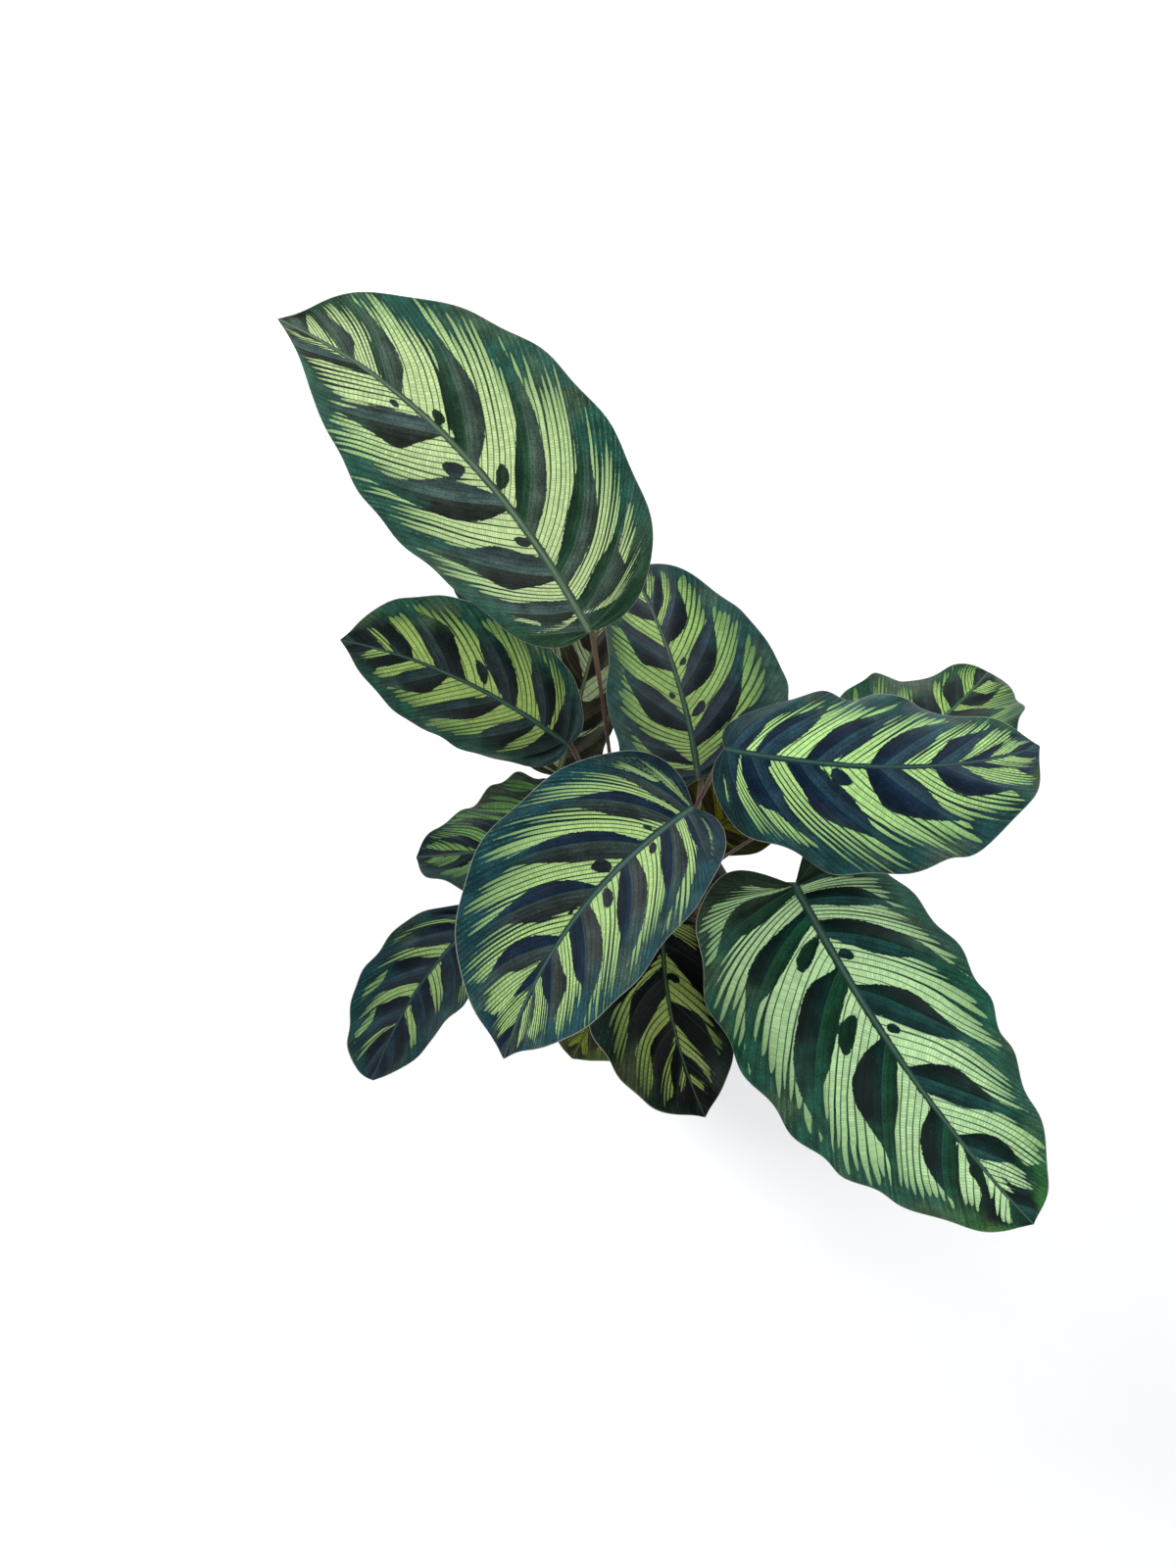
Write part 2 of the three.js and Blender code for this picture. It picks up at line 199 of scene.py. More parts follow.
# Each leaf repeats its solid's numbers, and then has the markings of its left half and its right half,
# and its tints as they look on a screen, from 0 to 255. In the tints, left and right give each half's
# blotch tones on the side of each pleat towards the stalk and on the side towards the tip: partly the
# leaf's own tone and partly painted sheen and reflection.
LEAVES = [
    dict(
        name="upper_left",
        base=(-26, 45, 332), bend=(-70, 112, 380), tip=(-147, 163, 368), foot=(-8, 12),
        half_width=(45, 47), widest=0.89, heart=0.1, beak=0.07,
        tilt=-34, twist=5, fold=-0.15, curl=0.24,
        wave=(5, 1.5, (0.35, 0.7)), ruffle=(0.7, 5, (0.8, 0.5)), sway=(-5, 0),
        strips=11, further=0.03, rows=220, columns=48,
        left=half(
            [(385, 345, 290), (475, 487, 510), (590, 615, 665), (685, 745, 840), (800, 900, 970)],
            [(537, 0, 150, 8), (647, 80, 260, 11), (742, 80, 160, 6)],
            band((330, 270, 245), (355, 300, 265), end=600),
            band((285,), (310,), start=450, end=680),
            band((415, 405, 385, 385, 400), (460, 443, 425, 470, 490)),
            band((515, 530, 520, 515, 530), (580, 572, 572, 600, 640)),
            band((615, 640, 640, 650, 680), (687, 690, 695, 770, 785)),
            band((720, 745, 765), (795, 840, 870), end=620),
            band((838, 900), (880, 960), end=260),
        ),
        right=half(
            [(365, 355, 330), (470, 465, 480), (555, 580, 610), (650, 690, 740), (760, 795, 850),
             (820, 885, 950)],
            [(608, 20, 200, 9), (698, 30, 140, 8)],
            band((330, 265, 235, 255), (345, 300, 285, 280), end=750),
            band((300,), (340,), start=560, end=820),
            band((403, 403, 380, 370, 375), (443, 437, 430, 450, 462)),
            band((490, 500, 495, 485, 500), (540, 543, 555, 575, 600)),
            band((582, 597, 600, 603, 635), (640, 643, 660, 700, 720)),
            band((680, 700, 707, 720, 765), (745, 750, 770, 800, 830)),
            band((775, 790, 800, 835), (810, 820, 860, 880), end=750),
            band((835, 865, 895), (885, 900, 910), end=500),
        ),
        tints=dict(
            light=(193, 216, 153), outer=(171, 204, 138), line=(50, 76, 48),
            left=((36, 44, 37), (59, 78, 75)), right=((62, 78, 68), (31, 59, 41)),
            margin=(34, 76, 64), tip=(51, 90, 69), base=(32, 64, 42), rib=(96, 122, 98),
        ),
    ),
    dict(
        name="left",
        base=(-35, 28, 265), bend=(-81, 58, 283), tip=(-135, 76, 270), foot=(-15, 7),
        half_width=(32, 32), widest=0.97, heart=0.14, beak=0.05,
        tilt=-44, twist=6, fold=0, curl=0.25,
        wave=(1.4, 3, (0.05, 0.05)), ruffle=(0.4, 5.5, (0.85, 0.45)),
        strips=8, fray=0.4, rib=0.8, rows=150, columns=34,
        left=half(
            [(485, 495, 500), (590, 625, 650), (700, 745, 790), (800, 870, 940)],
            [],
            band((430, 410, 390, 385), (473, 460, 443, 410), end=800),
            band((520, 530, 525, 510, 520), (577, 575, 577, 605, 630)),
            band((613, 635, 650, 655), (690, 690, 698, 750), end=800),
            band((737, 760, 770, 790), (770, 790, 815, 820), end=720),
            band((810, 835), (850, 865), end=420),
        ),
        right=half(
            [(455, 445, 420), (560, 565, 580), (690, 705, 730), (780, 835, 890)],
            [(622, 80, 370, 12)],
            band((410, 387, 350, 325, 340), (433, 410, 395, 395, 420)),
            band((475, 490, 485, 460, 455), (545, 537, 535, 545, 580)),
            band((587, 607, 610, 600, 620), (660, 663, 660, 665, 720)),
            band((717, 730, 735, 745), (760, 765, 785, 800), end=780),
            band((800, 810, 830), (820, 840, 855), end=600),
        ),
        tints=dict(
            light=(146, 173, 94), outer=(116, 150, 82), line=(40, 62, 34),
            left=((11, 22, 21), (29, 45, 45)), right=((14, 24, 24), (32, 45, 46)),
            margin=(26, 65, 53), base=(48, 72, 70), rib=(58, 86, 74),
        ),
    ),
    dict(
        name="upper_middle",
        base=(19, 8, 275), bend=(15, 71, 263), tip=(-7, 129, 246), foot=(8, 9),
        half_width=(40, 42), widest=0.78, heart=0.17, beak=0.03,
        tilt=-29, twist=10, fold=-0.07, curl=0.34,
        wave=(3, 3, (0.5, 0.45)), ruffle=(0.3, 5.5, (0.5, 0.4)),
        strips=8, fray=0.3, rib=0.85, rows=200, columns=44,
        left=half(
            [(450, 460, 490), (540, 600, 660), (675, 725, 780), (790, 860, 930)],
            [(607, 80, 170, 8)],
            band((360, 380, 400, 435), (395, 410, 430, 482), end=800),
            band((420, 475, 490, 515), (520, 530, 547, 620), end=830),
            band((575, 615, 635, 645, 675), (660, 670, 683, 750, 760)),
            band((715, 740, 760, 785), (770, 780, 795, 810), end=800),
            band((815, 835, 850), (850, 870, 890), end=550),
        ),
        right=half(
            [(490, 515, 560), (615, 645, 690), (730, 770, 820), (790, 860, 930)],
            [(552, 50, 230, 13), (662, 80, 200, 7)],
            band((380, 410, 455, 445, 470), (460, 460, 475, 530, 555)),
            band((520, 545, 550, 560, 580), (595, 590, 600, 660, 690)),
            band((637, 665, 675, 685, 730), (710, 710, 725, 785, 790)),
            band((755, 770, 785, 820), (775, 790, 820, 850), end=800),
            band((810, 832, 850), (845, 868, 880), start=80, end=520),
        ),
        tints=dict(
            light=(151, 185, 104), outer=(122, 163, 97), line=(38, 60, 36),
            left=((15, 29, 34), (30, 44, 52)), right=((15, 29, 34), (34, 48, 59)),
            margin=(28, 66, 61), base=(32, 56, 52), rib=(68, 98, 80),
        ),
    ),
    dict(
        name="back_right",
        base=(92, 17, 250), bend=(136, 50, 243), tip=(167, 88, 216), foot=(21, 0),
        half_width=(38, 38), widest=0.7, heart=0.17, beak=0.01,
        tilt=-9, twist=-18, fold=0.17, curl=0.04,
        wave=(5, 1.8, (0.4, 0.1)), ruffle=(1, 4.7, (0.75, 0.8)), lean=(1, 0.2), sway=(-3, 0),
        strips=8, rows=150, columns=34,
        left=half(
            [(330, 320, 310), (450, 460, 480), (540, 560, 580), (660, 680, 700), (750, 800, 870)],
            [],
            band((360, 370, 360, 360, 380), (420, 410, 410, 420, 430)),
            band((470, 480, 480, 480, 480), (520, 520, 520, 540, 560)),
            band((570, 580, 590, 580, 580), (640, 640, 640, 650, 670)),
            band((700, 705, 710, 715, 725), (730, 735, 740, 770, 820)),
            band((790, 810, 820, 830, 860), (840, 870, 900, 920, 940)),
        ),
        right=half(
            [(330, 320, 310), (450, 460, 480), (570, 580, 600), (690, 700, 720), (775, 820, 880)],
            [],
            band((360, 370, 360, 360, 380), (420, 410, 410, 440, 460)),
            band((480, 490, 490, 490, 510), (540, 530, 540, 580, 580)),
            band((600, 610, 610, 600, 580), (660, 660, 670, 680, 700)),
            band((725, 730, 730, 710, 700), (750, 745, 750, 830, 860), end=970),
            band((810, 800, 800, 840), (830, 880, 870, 880), end=800),
        ),
        tints=dict(
            light=(142, 180, 97), outer=(119, 159, 84), line=(36, 60, 32),
            left=((11, 25, 24), (17, 33, 32)), right=((11, 25, 24), (17, 33, 32)),
            margin=(30, 67, 48), tip=(40, 76, 43), base=(32, 56, 38), rib=(60, 98, 66),
        ),
    ),
    dict(
        name="right",
        base=(25, 4, 315), bend=(96, -17, 328), tip=(154, 15, 293), foot=(12, -5),
        half_width=(37, 37), widest=0.93, heart=0.19, beak=0.04,
        tilt=1, twist=2, fold=-0.15, curl=0.3,
        wave=(4, 2.9, (0.45, 0.55)), ruffle=(1.1, 4.7, (0.7, 0.65)), lean=(0.4, 0.45), sway=(0, -6),
        strips=9, rib=0.75, further=0.03, rows=220, columns=46,
        left=half(
            [(430, 437, 445), (550, 580, 640), (645, 700, 765), (720, 785, 850), (800, 900, 970)],
            [],
            band((380, 372, 350, 380, 385), (413, 400, 398, 420, 440)),
            band((476, 485, 477, 455), (530, 530, 535, 575, 600), end=880),
            band((580, 600, 605, 617, 660), (630, 635, 655, 700, 740)),
            band((680, 705, 717, 727, 760), (715, 730, 750, 820, 830)),
            band((763, 785, 800, 840), (777, 830, 870, 885), end=700),
            band((815, 845), (860, 905), start=60, end=420),
        ),
        right=half(
            [(410, 417, 430), (520, 543, 560), (640, 677, 715), (730, 785, 850), (790, 880, 950)],
            [(580, 30, 220, 14), (450, 0, 100, 10)],
            band((185, 190, 195, 200), (200, 205, 212, 220), start=420, end=700),
            band((350, 310, 280, 283), (362, 347, 335, 340), end=830),
            band((350, 350, 350, 360), (390, 390, 400, 425), start=520, end=750),
            band((450, 452, 443, 440, 450), (497, 500, 495, 545, 550)),
            band((560, 575, 570, 560, 580), (620, 615, 617, 700, 700), end=930),
            band((675, 690, 690, 700, 725), (717, 720, 740, 800, 800), end=920),
            band((760, 775, 783, 820), (775, 835, 855, 870), end=780),
            band((803, 835), (865, 900), start=30, end=450),
        ),
        tints=dict(
            light=(173, 214, 133), outer=(150, 194, 122), line=(34, 62, 44),
            left=((9, 28, 45), (32, 59, 71)), right=((10, 32, 51), (28, 53, 65)),
            margin=(24, 64, 63), tip=(40, 78, 54), base=(26, 54, 56), rib=(52, 84, 78),
        ),
    ),
    dict(
        name="centre",
        base=(13, -18, 310), bend=(-39, -53, 306), tip=(-58, -106, 278), foot=(3, -9),
        half_width=(41, 44), widest=0.91, heart=0.25, beak=0.06,
        tilt=15, twist=5, fold=0.3, curl=-0.04,
        wave=(1.4, 2, (0.45, 0.05)), ruffle=(0.6, 4, (0.05, 0.1)),
        strips=10, rib=0.9, further=0.03, rows=210, columns=48,
        left=half(
            [(330, 300, 260), (435, 445, 460), (560, 570, 600), (670, 685, 720), (740, 780, 840),
             (790, 875, 950)],
            [(500, 30, 150, 11), (618, 30, 260, 11)],
            band((165, 170, 190, 225, 250), (180, 190, 215, 250, 270), start=280, end=750),
            band((360, 357, 335, 360, 380), (410, 398, 388, 420, 450)),
            band((477, 487, 478, 470, 500), (540, 530, 530, 545, 580)),
            band((587, 603, 604, 595, 605), (650, 645, 643, 655, 690)),
            band((702, 712, 715, 705, 735), (730, 735, 738, 785, 790)),
            band((776, 787, 787, 810), (797, 820, 860, 865), end=740),
            band((806, 835), (850, 890), start=70, end=450),
        ),
        right=half(
            [(300, 310, 330), (410, 440, 465), (520, 570, 605), (625, 680, 730), (725, 770, 830),
             (785, 880, 950)],
            [(475, 30, 130, 6), (590, 30, 200, 12), (675, 50, 100, 5)],
            band((170, 160, 150, 190), (240, 240, 240, 250), end=780),
            band((250, 250, 250, 260), (260, 270, 285, 300), start=450, end=820),
            band((355, 358, 345, 345, 355), (380, 390, 395, 440, 450)),
            band((445, 475, 477, 470, 485), (515, 523, 540, 570, 590)),
            band((570, 592, 600, 597, 620), (625, 628, 643, 690, 710)),
            band((672, 700, 703, 710, 740), (715, 722, 740, 795, 800)),
            band((757, 775, 785, 810), (768, 840, 860, 860), end=720),
            band((805, 828), (870, 900), start=30, end=420),
        ),
        tints=dict(
            light=(166, 198, 126), outer=(143, 178, 117), line=(34, 60, 38),
            left=((48, 58, 55), (14, 31, 48)), right=((14, 31, 48), (45, 56, 53)),
            margin=(22, 60, 65), base=(22, 44, 54), rib=(62, 92, 86),
        ),
    ),
    dict(
        name="middle_left",
        base=(-22, 0, 236), bend=(-59, -16, 253), tip=(-101, -14, 239), foot=(-11, -2),
        half_width=(29, 30), widest=0.8, heart=0.18, beak=0.02,
        tilt=9, twist=8, fold=0.2, curl=-0.03,
        wave=(4, 1.6, (0.9, 0.55)), ruffle=(1.2, 5, (0.65, 0.25)),
        strips=7, fray=0.4, rows=140, columns=32,
        left=half(
            [(330, 320, 310), (450, 460, 480), (570, 590, 620), (690, 700, 700), (755, 785, 830),
             (810, 870, 930)],
            [],
            band((360, 370, 360, 360, 380), (420, 410, 410, 440, 460)),
            band((480, 490, 490, 490, 510), (540, 530, 540, 580, 600)),
            band((600, 610, 610, 610, 630), (660, 650, 660, 680, 690)),
            band((695, 700, 705, 713, 710), (743, 755, 760, 790, 785)),
            band((795, 800, 820), (830, 845, 855), end=540),
            band((840, 850, 865), (875, 890, 900), start=50, end=480),
        ),
        right=half(
            [(240, 280, 360), (360, 420, 530), (660, 680, 755), (750, 785, 870)],
            [],
            band((260, 290, 330, 385, 430), (300, 340, 380, 450, 515), end=960),
            band((390, 410, 440, 495, 555), (510, 550, 585, 613, 638), end=970),
            band((530, 565, 595, 625, 655), (585, 610, 632, 680, 740), end=960),
            band((695, 703, 710, 727, 755), (725, 745, 765, 850, 870), end=920),
            band((760, 785, 820), (790, 870, 915), end=620),
        ),
        # These tints are darker than the leaf's own colour: painted shade, for the leaf lies in shadow
        # under the centre leaf
        tints=dict(
            light=(97, 134, 72), outer=(80, 118, 66), line=(26, 52, 32),
            left=((2, 13, 23), (6, 22, 31)), right=((2, 13, 23), (4, 20, 29)),
            margin=(15, 41, 43), base=(20, 44, 46), rib=(44, 76, 66),
        ),
    ),
    dict(
        name="lower_left",
        base=(-71, -34, 225), bend=(-107, -59, 205), tip=(-123, -101, 186), foot=(-19, -9),
        half_width=(29, 29), widest=0.96, heart=0.04, beak=0.01,
        tilt=-54, twist=0, fold=0.14, curl=0.2,
        wave=(1.2, 3, (0.7, 0)), ruffle=(0.4, 5.8, (0.05, 0.3)),
        strips=8, fray=0.4, rib=0.8, further=0.02, rows=140, columns=32,
        left=half(
            [(330, 320, 310), (450, 460, 470), (560, 570, 580), (680, 700, 720), (790, 850, 910)],
            [],
            band((360, 370, 360, 360, 380), (420, 410, 410, 430, 440)),
            band((480, 490, 490, 490, 500), (530, 530, 530, 550, 560)),
            band((600, 620, 620, 640), (650, 660, 660, 660), end=750),
            band((720, 730, 735, 750), (745, 757, 765, 785), end=760),
        ),
        right=half(
            [(360, 340, 330), (480, 470, 470), (615, 610, 610), (730, 730, 740), (800, 860, 920)],
            [],
            band((410, 405, 388, 388, 402), (430, 427, 417, 417, 434)),
            band((540, 545, 530, 520, 540), (590, 580, 565, 555, 560)),
            band((570, 570, 570, 570, 590), (590, 590, 590, 610, 625), start=700, end=880),
            band((665, 660, 655, 645, 665), (700, 690, 690, 680, 690)),
            band((690, 690, 690, 690, 715), (710, 710, 710, 735, 755), start=650, end=890),
            band((765, 770, 775, 785, 820), (775, 785, 800, 820, 840)),
        ),
        tints=dict(
            light=(146, 177, 108), outer=(124, 159, 103), line=(28, 50, 34),
            left=((11, 26, 37), (24, 44, 54)), right=((11, 26, 37), (26, 46, 56)),
            margin=(18, 56, 58), base=(20, 42, 48), rib=(48, 78, 74),
        ),
    ),
    dict(
        name="lower_middle",
        base=(5, -40, 246), bend=(1, -84, 253), tip=(20, -123, 240), foot=(1, -18),
        half_width=(32, 33), widest=0.9, heart=0.16, beak=0.04,
        tilt=-10, twist=-2, fold=0.08, curl=0.18,
        wave=(2.7, 2.4, (0.75, 0.5)), ruffle=(0.6, 5.4, (0.6, 0.2)),
        strips=8, fray=0.5, rib=0.65, rows=150, columns=34,
        left=half(
            [(370, 350, 330), (500, 510, 520), (650, 700, 740), (780, 840, 910)],
            [(593, 0, 200, 12)],
            band((400, 330, 270), (440, 440, 445), end=500),
            band((540, 575, 610, 675), (655, 660, 670, 740), end=800),
            band((710, 745, 775), (770, 790, 830), end=620),
            band((812, 832), (840, 862), end=380),
        ),
        right=half(
            [(370, 360, 350), (490, 500, 500), (600, 620, 660), (710, 730, 790), (780, 840, 910)],
            [],
            band((410, 420, 420, 420), (450, 460, 460, 460), end=800),
            band((540, 570, 575, 570, 565), (575, 585, 590, 640, 665)),
            band((645, 665, 675, 680, 705), (695, 700, 710, 760, 770)),
            band((735, 757, 765, 800), (750, 775, 825, 830), end=820),
            band((795, 818), (820, 845), start=60, end=350),
        ),
        # These tints are darker than the leaf's own colour, near black in the blotches: painted shade, for
        # the leaf lies deep in shadow under the others
        tints=dict(
            light=(128, 148, 79), outer=(104, 129, 68), line=(34, 44, 24),
            left=((3, 7, 7), (8, 13, 12)), right=((3, 7, 7), (7, 12, 12)),
            margin=(14, 32, 26), tip=(18, 35, 24), base=(18, 30, 20), rib=(56, 78, 54),
        ),
    ),
    dict(
        name="lower_right",
        base=(55, -38, 278), bend=(95, -115, 259), tip=(155, -162, 212), foot=(17, -13),
        half_width=(46, 53), widest=0.84, heart=0.6, beak=0.03,
        tilt=1, twist=25, fold=0, curl=0.3,
        wave=(5, 1.9, (0.4, 0.2)), ruffle=(1.3, 6.8, (0.45, 0.55)),
        strips=9, fray=0.6, rows=230, columns=50,
        left=half(
            [(365, 370, 380), (465, 477, 490), (565, 605, 670), (680, 715, 760), (775, 820, 880)],
            [(510, 20, 160, 10), (623, 50, 170, 7)],
            band((265, 270, 285, 300), (330, 330, 337, 375), end=800),
            band((390, 397, 390, 388, 430), (435, 435, 445, 458, 478), end=940),
            band((483, 503, 503, 495, 540), (560, 560, 570, 620, 635), end=940),
            band((605, 625, 635, 637, 665), (670, 670, 677, 720, 730), end=920),
            band((710, 730, 735, 740, 765), (763, 767, 780, 820, 820), end=940),
            band((800, 810, 815, 840), (830, 855, 870, 875), end=650),
            band((800, 815), (860, 885), end=200),
        ),
        right=half(
            [(255, 260, 280), (410, 410, 425), (530, 550, 570), (635, 672, 710), (740, 775, 820)],
            [(468, 20, 290, 16), (587, 100, 370, 14), (810, 30, 220, 12)],
            band((170, 140, 125, 130, 180), (200, 190, 185, 230, 280), end=940),
            band((315, 320, 305, 290, 320), (388, 375, 365, 380, 420), end=940),
            band((440, 445, 440, 425, 450), (520, 500, 505, 520, 560), end=920),
            band((560, 572, 575, 570, 585), (625, 617, 625, 690, 710), end=940),
            band((665, 685, 690, 710), (720, 725, 750, 800), end=800),
            band((770, 785, 795), (790, 830, 840), end=650),
            band((825, 850), (880, 900), start=30, end=550),
        ),
        tints=dict(
            light=(187, 225, 165), outer=(171, 212, 147), line=(44, 74, 52),
            left=((5, 33, 29), (22, 62, 59)), right=((5, 35, 31), (16, 62, 40)),
            margin=(26, 76, 59), tip=(48, 102, 47), base=(32, 50, 34), rib=(66, 98, 84),
        ),
    ),
    dict(
        LOW_LEAF, name="low_front",
        base=(-8, -37, 193), bend=(-19, -64, 192), tip=(-34, -88, 164), foot=(-8, -17),
        half_width=(28, 27), widest=0.85, heart=0.15, beak=0.02,
        tilt=0, wave=(2.5, 2.5, (0.2, 0.6)),
        tints=dict(
            light=(116, 130, 34), outer=(100, 114, 28), line=(36, 46, 14),
            left=((24, 30, 14), (34, 40, 18)), right=((24, 30, 14), (34, 40, 18)),
            margin=(44, 62, 22), tip=(50, 70, 24), base=(40, 50, 20), rib=(76, 90, 40),
        ),
    ),
    dict(
        LOW_LEAF, name="low_back",
        base=(-41, 42, 196), bend=(-28, 80, 222), tip=(-18, 122, 225), foot=(-14, 19),
        half_width=(30, 20), widest=0.85, heart=0.14,
        tilt=-10, wave=(2.5, 2.5, (0.2, 0.3)),
        fray=0.3,
        right=half(
            [(300, 290, 280), (440, 430, 400), (570, 560, 530), (770, 810, 860)],
            [],
            band((360, 350, 330, 310, 310), (380, 370, 355, 340, 330)),
            band((520, 510, 495, 475, 455), (540, 530, 515, 500, 485), start=200),
            band((635, 620, 610, 595, 580), (685, 690, 690, 685, 680)),
            band((800, 820, 840), (840, 860, 870), end=700),
        ),
        tints=dict(
            light=(136, 154, 114), outer=(120, 138, 92), line=(50, 54, 34),
            left=((22, 20, 12), (36, 34, 22)), right=((22, 20, 12), (36, 34, 22)),
            margin=(40, 46, 30), base=(32, 30, 18), rib=(84, 98, 70),
        ),
    ),
    dict(
        LOW_LEAF, name="low_right",
        base=(34, 20, 180), bend=(76, 44, 193), tip=(116, 72, 187), foot=(17, 12),
        half_width=(34, 22), widest=0.75, heart=0.3,
        tilt=8, wave=(2, 2, (0.4, 0.05)), ruffle=(0.8, 4.5, (0.1, 0.4)),
        tints=dict(
            light=(112, 122, 26), outer=(100, 110, 22), line=(36, 40, 12),
            left=((26, 24, 10), (38, 34, 14)), right=((26, 24, 10), (38, 34, 14)),
            margin=(46, 60, 20), base=(44, 36, 16), rib=(78, 90, 38),
        ),
    ),
    dict(
        LOW_LEAF, name="low_left",
        base=(-40, 94, 199), bend=(-71, 132, 225), tip=(-97, 174, 227), foot=(-4, 23),
        half_width=(21, 27), widest=0.9, heart=0.15,
        tilt=-6, wave=(2.5, 2.5, (0.9, 0.2)),
        tints=dict(
            light=(110, 150, 70), outer=(94, 132, 62), line=(32, 52, 28),
            left=((20, 32, 30), (36, 46, 46)), right=((20, 32, 30), (36, 46, 46)),
            margin=(28, 58, 46), tip=(34, 62, 44), base=(30, 54, 40), rib=(56, 88, 64),
        ),
    ),
]


# Shader helpers


def paint(rgb):
    """A colour as it looks on a screen, from 0 to 255, as the linear one that shaders take."""
    linear = [((c / 255 + 0.055) / 1.055) ** 2.4 if c > 10 else c / 255 / 12.92 for c in rgb]
    return (*linear, 1.0)


class Shader:
    """A material's nodes, with a short call for each kind."""

    def __init__(self, name):
        self.material = bpy.data.materials.new(name)
        self.material.use_nodes = True
        self.tree = self.material.node_tree
        self.surface = self.tree.nodes["Principled BSDF"]

    def put(self, socket, value):
        if isinstance(value, bpy.types.NodeSocket):
            self.tree.links.new(value, socket)
        else:
            socket.default_value = value

    def finish(self, inputs):
        for name, value in inputs.items():
            self.put(self.surface.inputs[name], value)

    def node(self, kind, inputs=(), **settings):
        made = self.tree.nodes.new("ShaderNode" + kind)
        for name, value in settings.items():
            setattr(made, name, value)
        for key, value in dict(inputs).items():
            self.put(made.inputs[key], value)
        return made

    def math(self, operation, *values):
        made = self.node("Math", operation=operation)
        for socket, value in zip(made.inputs, values):
            self.put(socket, value)
        return made.outputs[0]

    def times(self, *values):
        return self.math("MULTIPLY", *values)

    def plus(self, *values):
        return self.math("ADD", *values)

    def minus(self, *values):
        return self.math("SUBTRACT", *values)

    def line(self, value, slope, start):
        return self.plus(self.times(value, slope), start)

    def off_middle(self, value):
        """How far a value is past the middle between two whole numbers, from -0.5 to 0.5."""
        return self.minus(self.math("FRACT", value), 0.5)

    def attribute(self, name):
        return self.node("Attribute", attribute_name=name).outputs["Fac"]

    def place(self):
        """The surface's place in mm."""
        scaled = self.node("VectorMath", operation="SCALE")
        self.put(scaled.inputs[0], self.node("TexCoord").outputs["Object"])
        scaled.inputs["Scale"].default_value = 1 / MM
        return scaled.outputs[0]

    def join(self, x, y, z=0.0):
        return self.node("CombineXYZ", {0: x, 1: y, 2: z}).outputs[0]

    def noise(self, vector, scale, detail=2.0, roughness=0.5):
        """Soft noise about 0.5, with scale waves in a mm where vector is a place."""
        inputs = {"Vector": vector, "Scale": scale, "Detail": detail, "Roughness": roughness}
        return self.node("TexNoise", inputs).outputs["Fac"]

    def chance(self, vector):
        """A fixed random number from 0 to 1 for each value of vector."""
        return self.node("TexWhiteNoise", {"Vector": vector}, noise_dimensions="3D").outputs["Value"]

    def ease(self, value, low, high, start=0.0, end=1.0):
        """Goes smoothly from start at low to end at high."""
        inputs = {"Value": value, "From Min": low, "From Max": high, "To Min": start, "To Max": end}
        return self.node("MapRange", inputs, interpolation_type="SMOOTHSTEP").outputs[0]

    def mix(self, share, first, second, blend="MIX"):
        made = self.node("Mix", data_type="RGBA", blend_type=blend)
        self.put(made.inputs[0], share)
        self.put(made.inputs[6], first)
        self.put(made.inputs[7], second)
        return made.outputs[2]

    def shade(self, colour, amount):
        """The colour made darker or lighter by an amount round 1."""
        scaled = self.node("VectorMath", operation="SCALE")
        self.put(scaled.inputs[0], colour if isinstance(colour, bpy.types.NodeSocket) else colour[:3])
        self.put(scaled.inputs["Scale"], amount)
        return scaled.outputs[0]

    def vary(self, colour, noise, darkest, lightest):
        return self.shade(colour, self.ease(noise, *NOISE_SPAN, darkest, lightest))

    def bump(self, height, distance, strength):
        made = self.node("Bump", {"Height": height, "Distance": distance, "Strength": strength})
        self.put(self.surface.inputs["Normal"], made.outputs[0])


def fine_veins(s, leaf):
    """Fine veins part the blade into strips, and veinlets part the strips into cells."""
    f = SimpleNamespace(place=s.place())
    for name in ("vein", "share", "turn", "pitch", "along", "rib"):
        setattr(f, name, s.attribute(name))
    count = leaf["strips"]
    f.strips = s.times(s.plus(f.vein, s.times(s.noise(f.place, 0.05), VEIN_WAVER)), count)
    strip = s.math("FLOOR", f.strips)
    across = s.off_middle(f.strips)
    f.strip_side = s.times(s.math("ABSOLUTE", across), 2)
    f.half_strip = s.math("DIVIDE", f.pitch, 2 * count)
    f.strip_chance = s.chance(s.join(strip, STRIP_SEED))
    f.line_chance = s.chance(s.join(s.math("ROUND", f.strips), LINE_SEED))
    square_on = s.times(s.math("DIVIDE", across, count), s.attribute("slant"))
    cells = s.math("DIVIDE", s.plus(f.along, square_on), VEINLET_PITCH)
    cells = s.plus(cells, s.times(f.strip_chance, VEINLET_SHIFT))
    cells = s.plus(cells, s.noise(f.place, 0.4))
    cell_side = s.times(s.math("ABSOLUTE", s.off_middle(cells)), 2)
    f.cross_line = s.ease(cell_side, 0.6, 0.9)
    f.cell_chance = s.chance(s.join(strip, s.math("FLOOR", cells)))
    return f


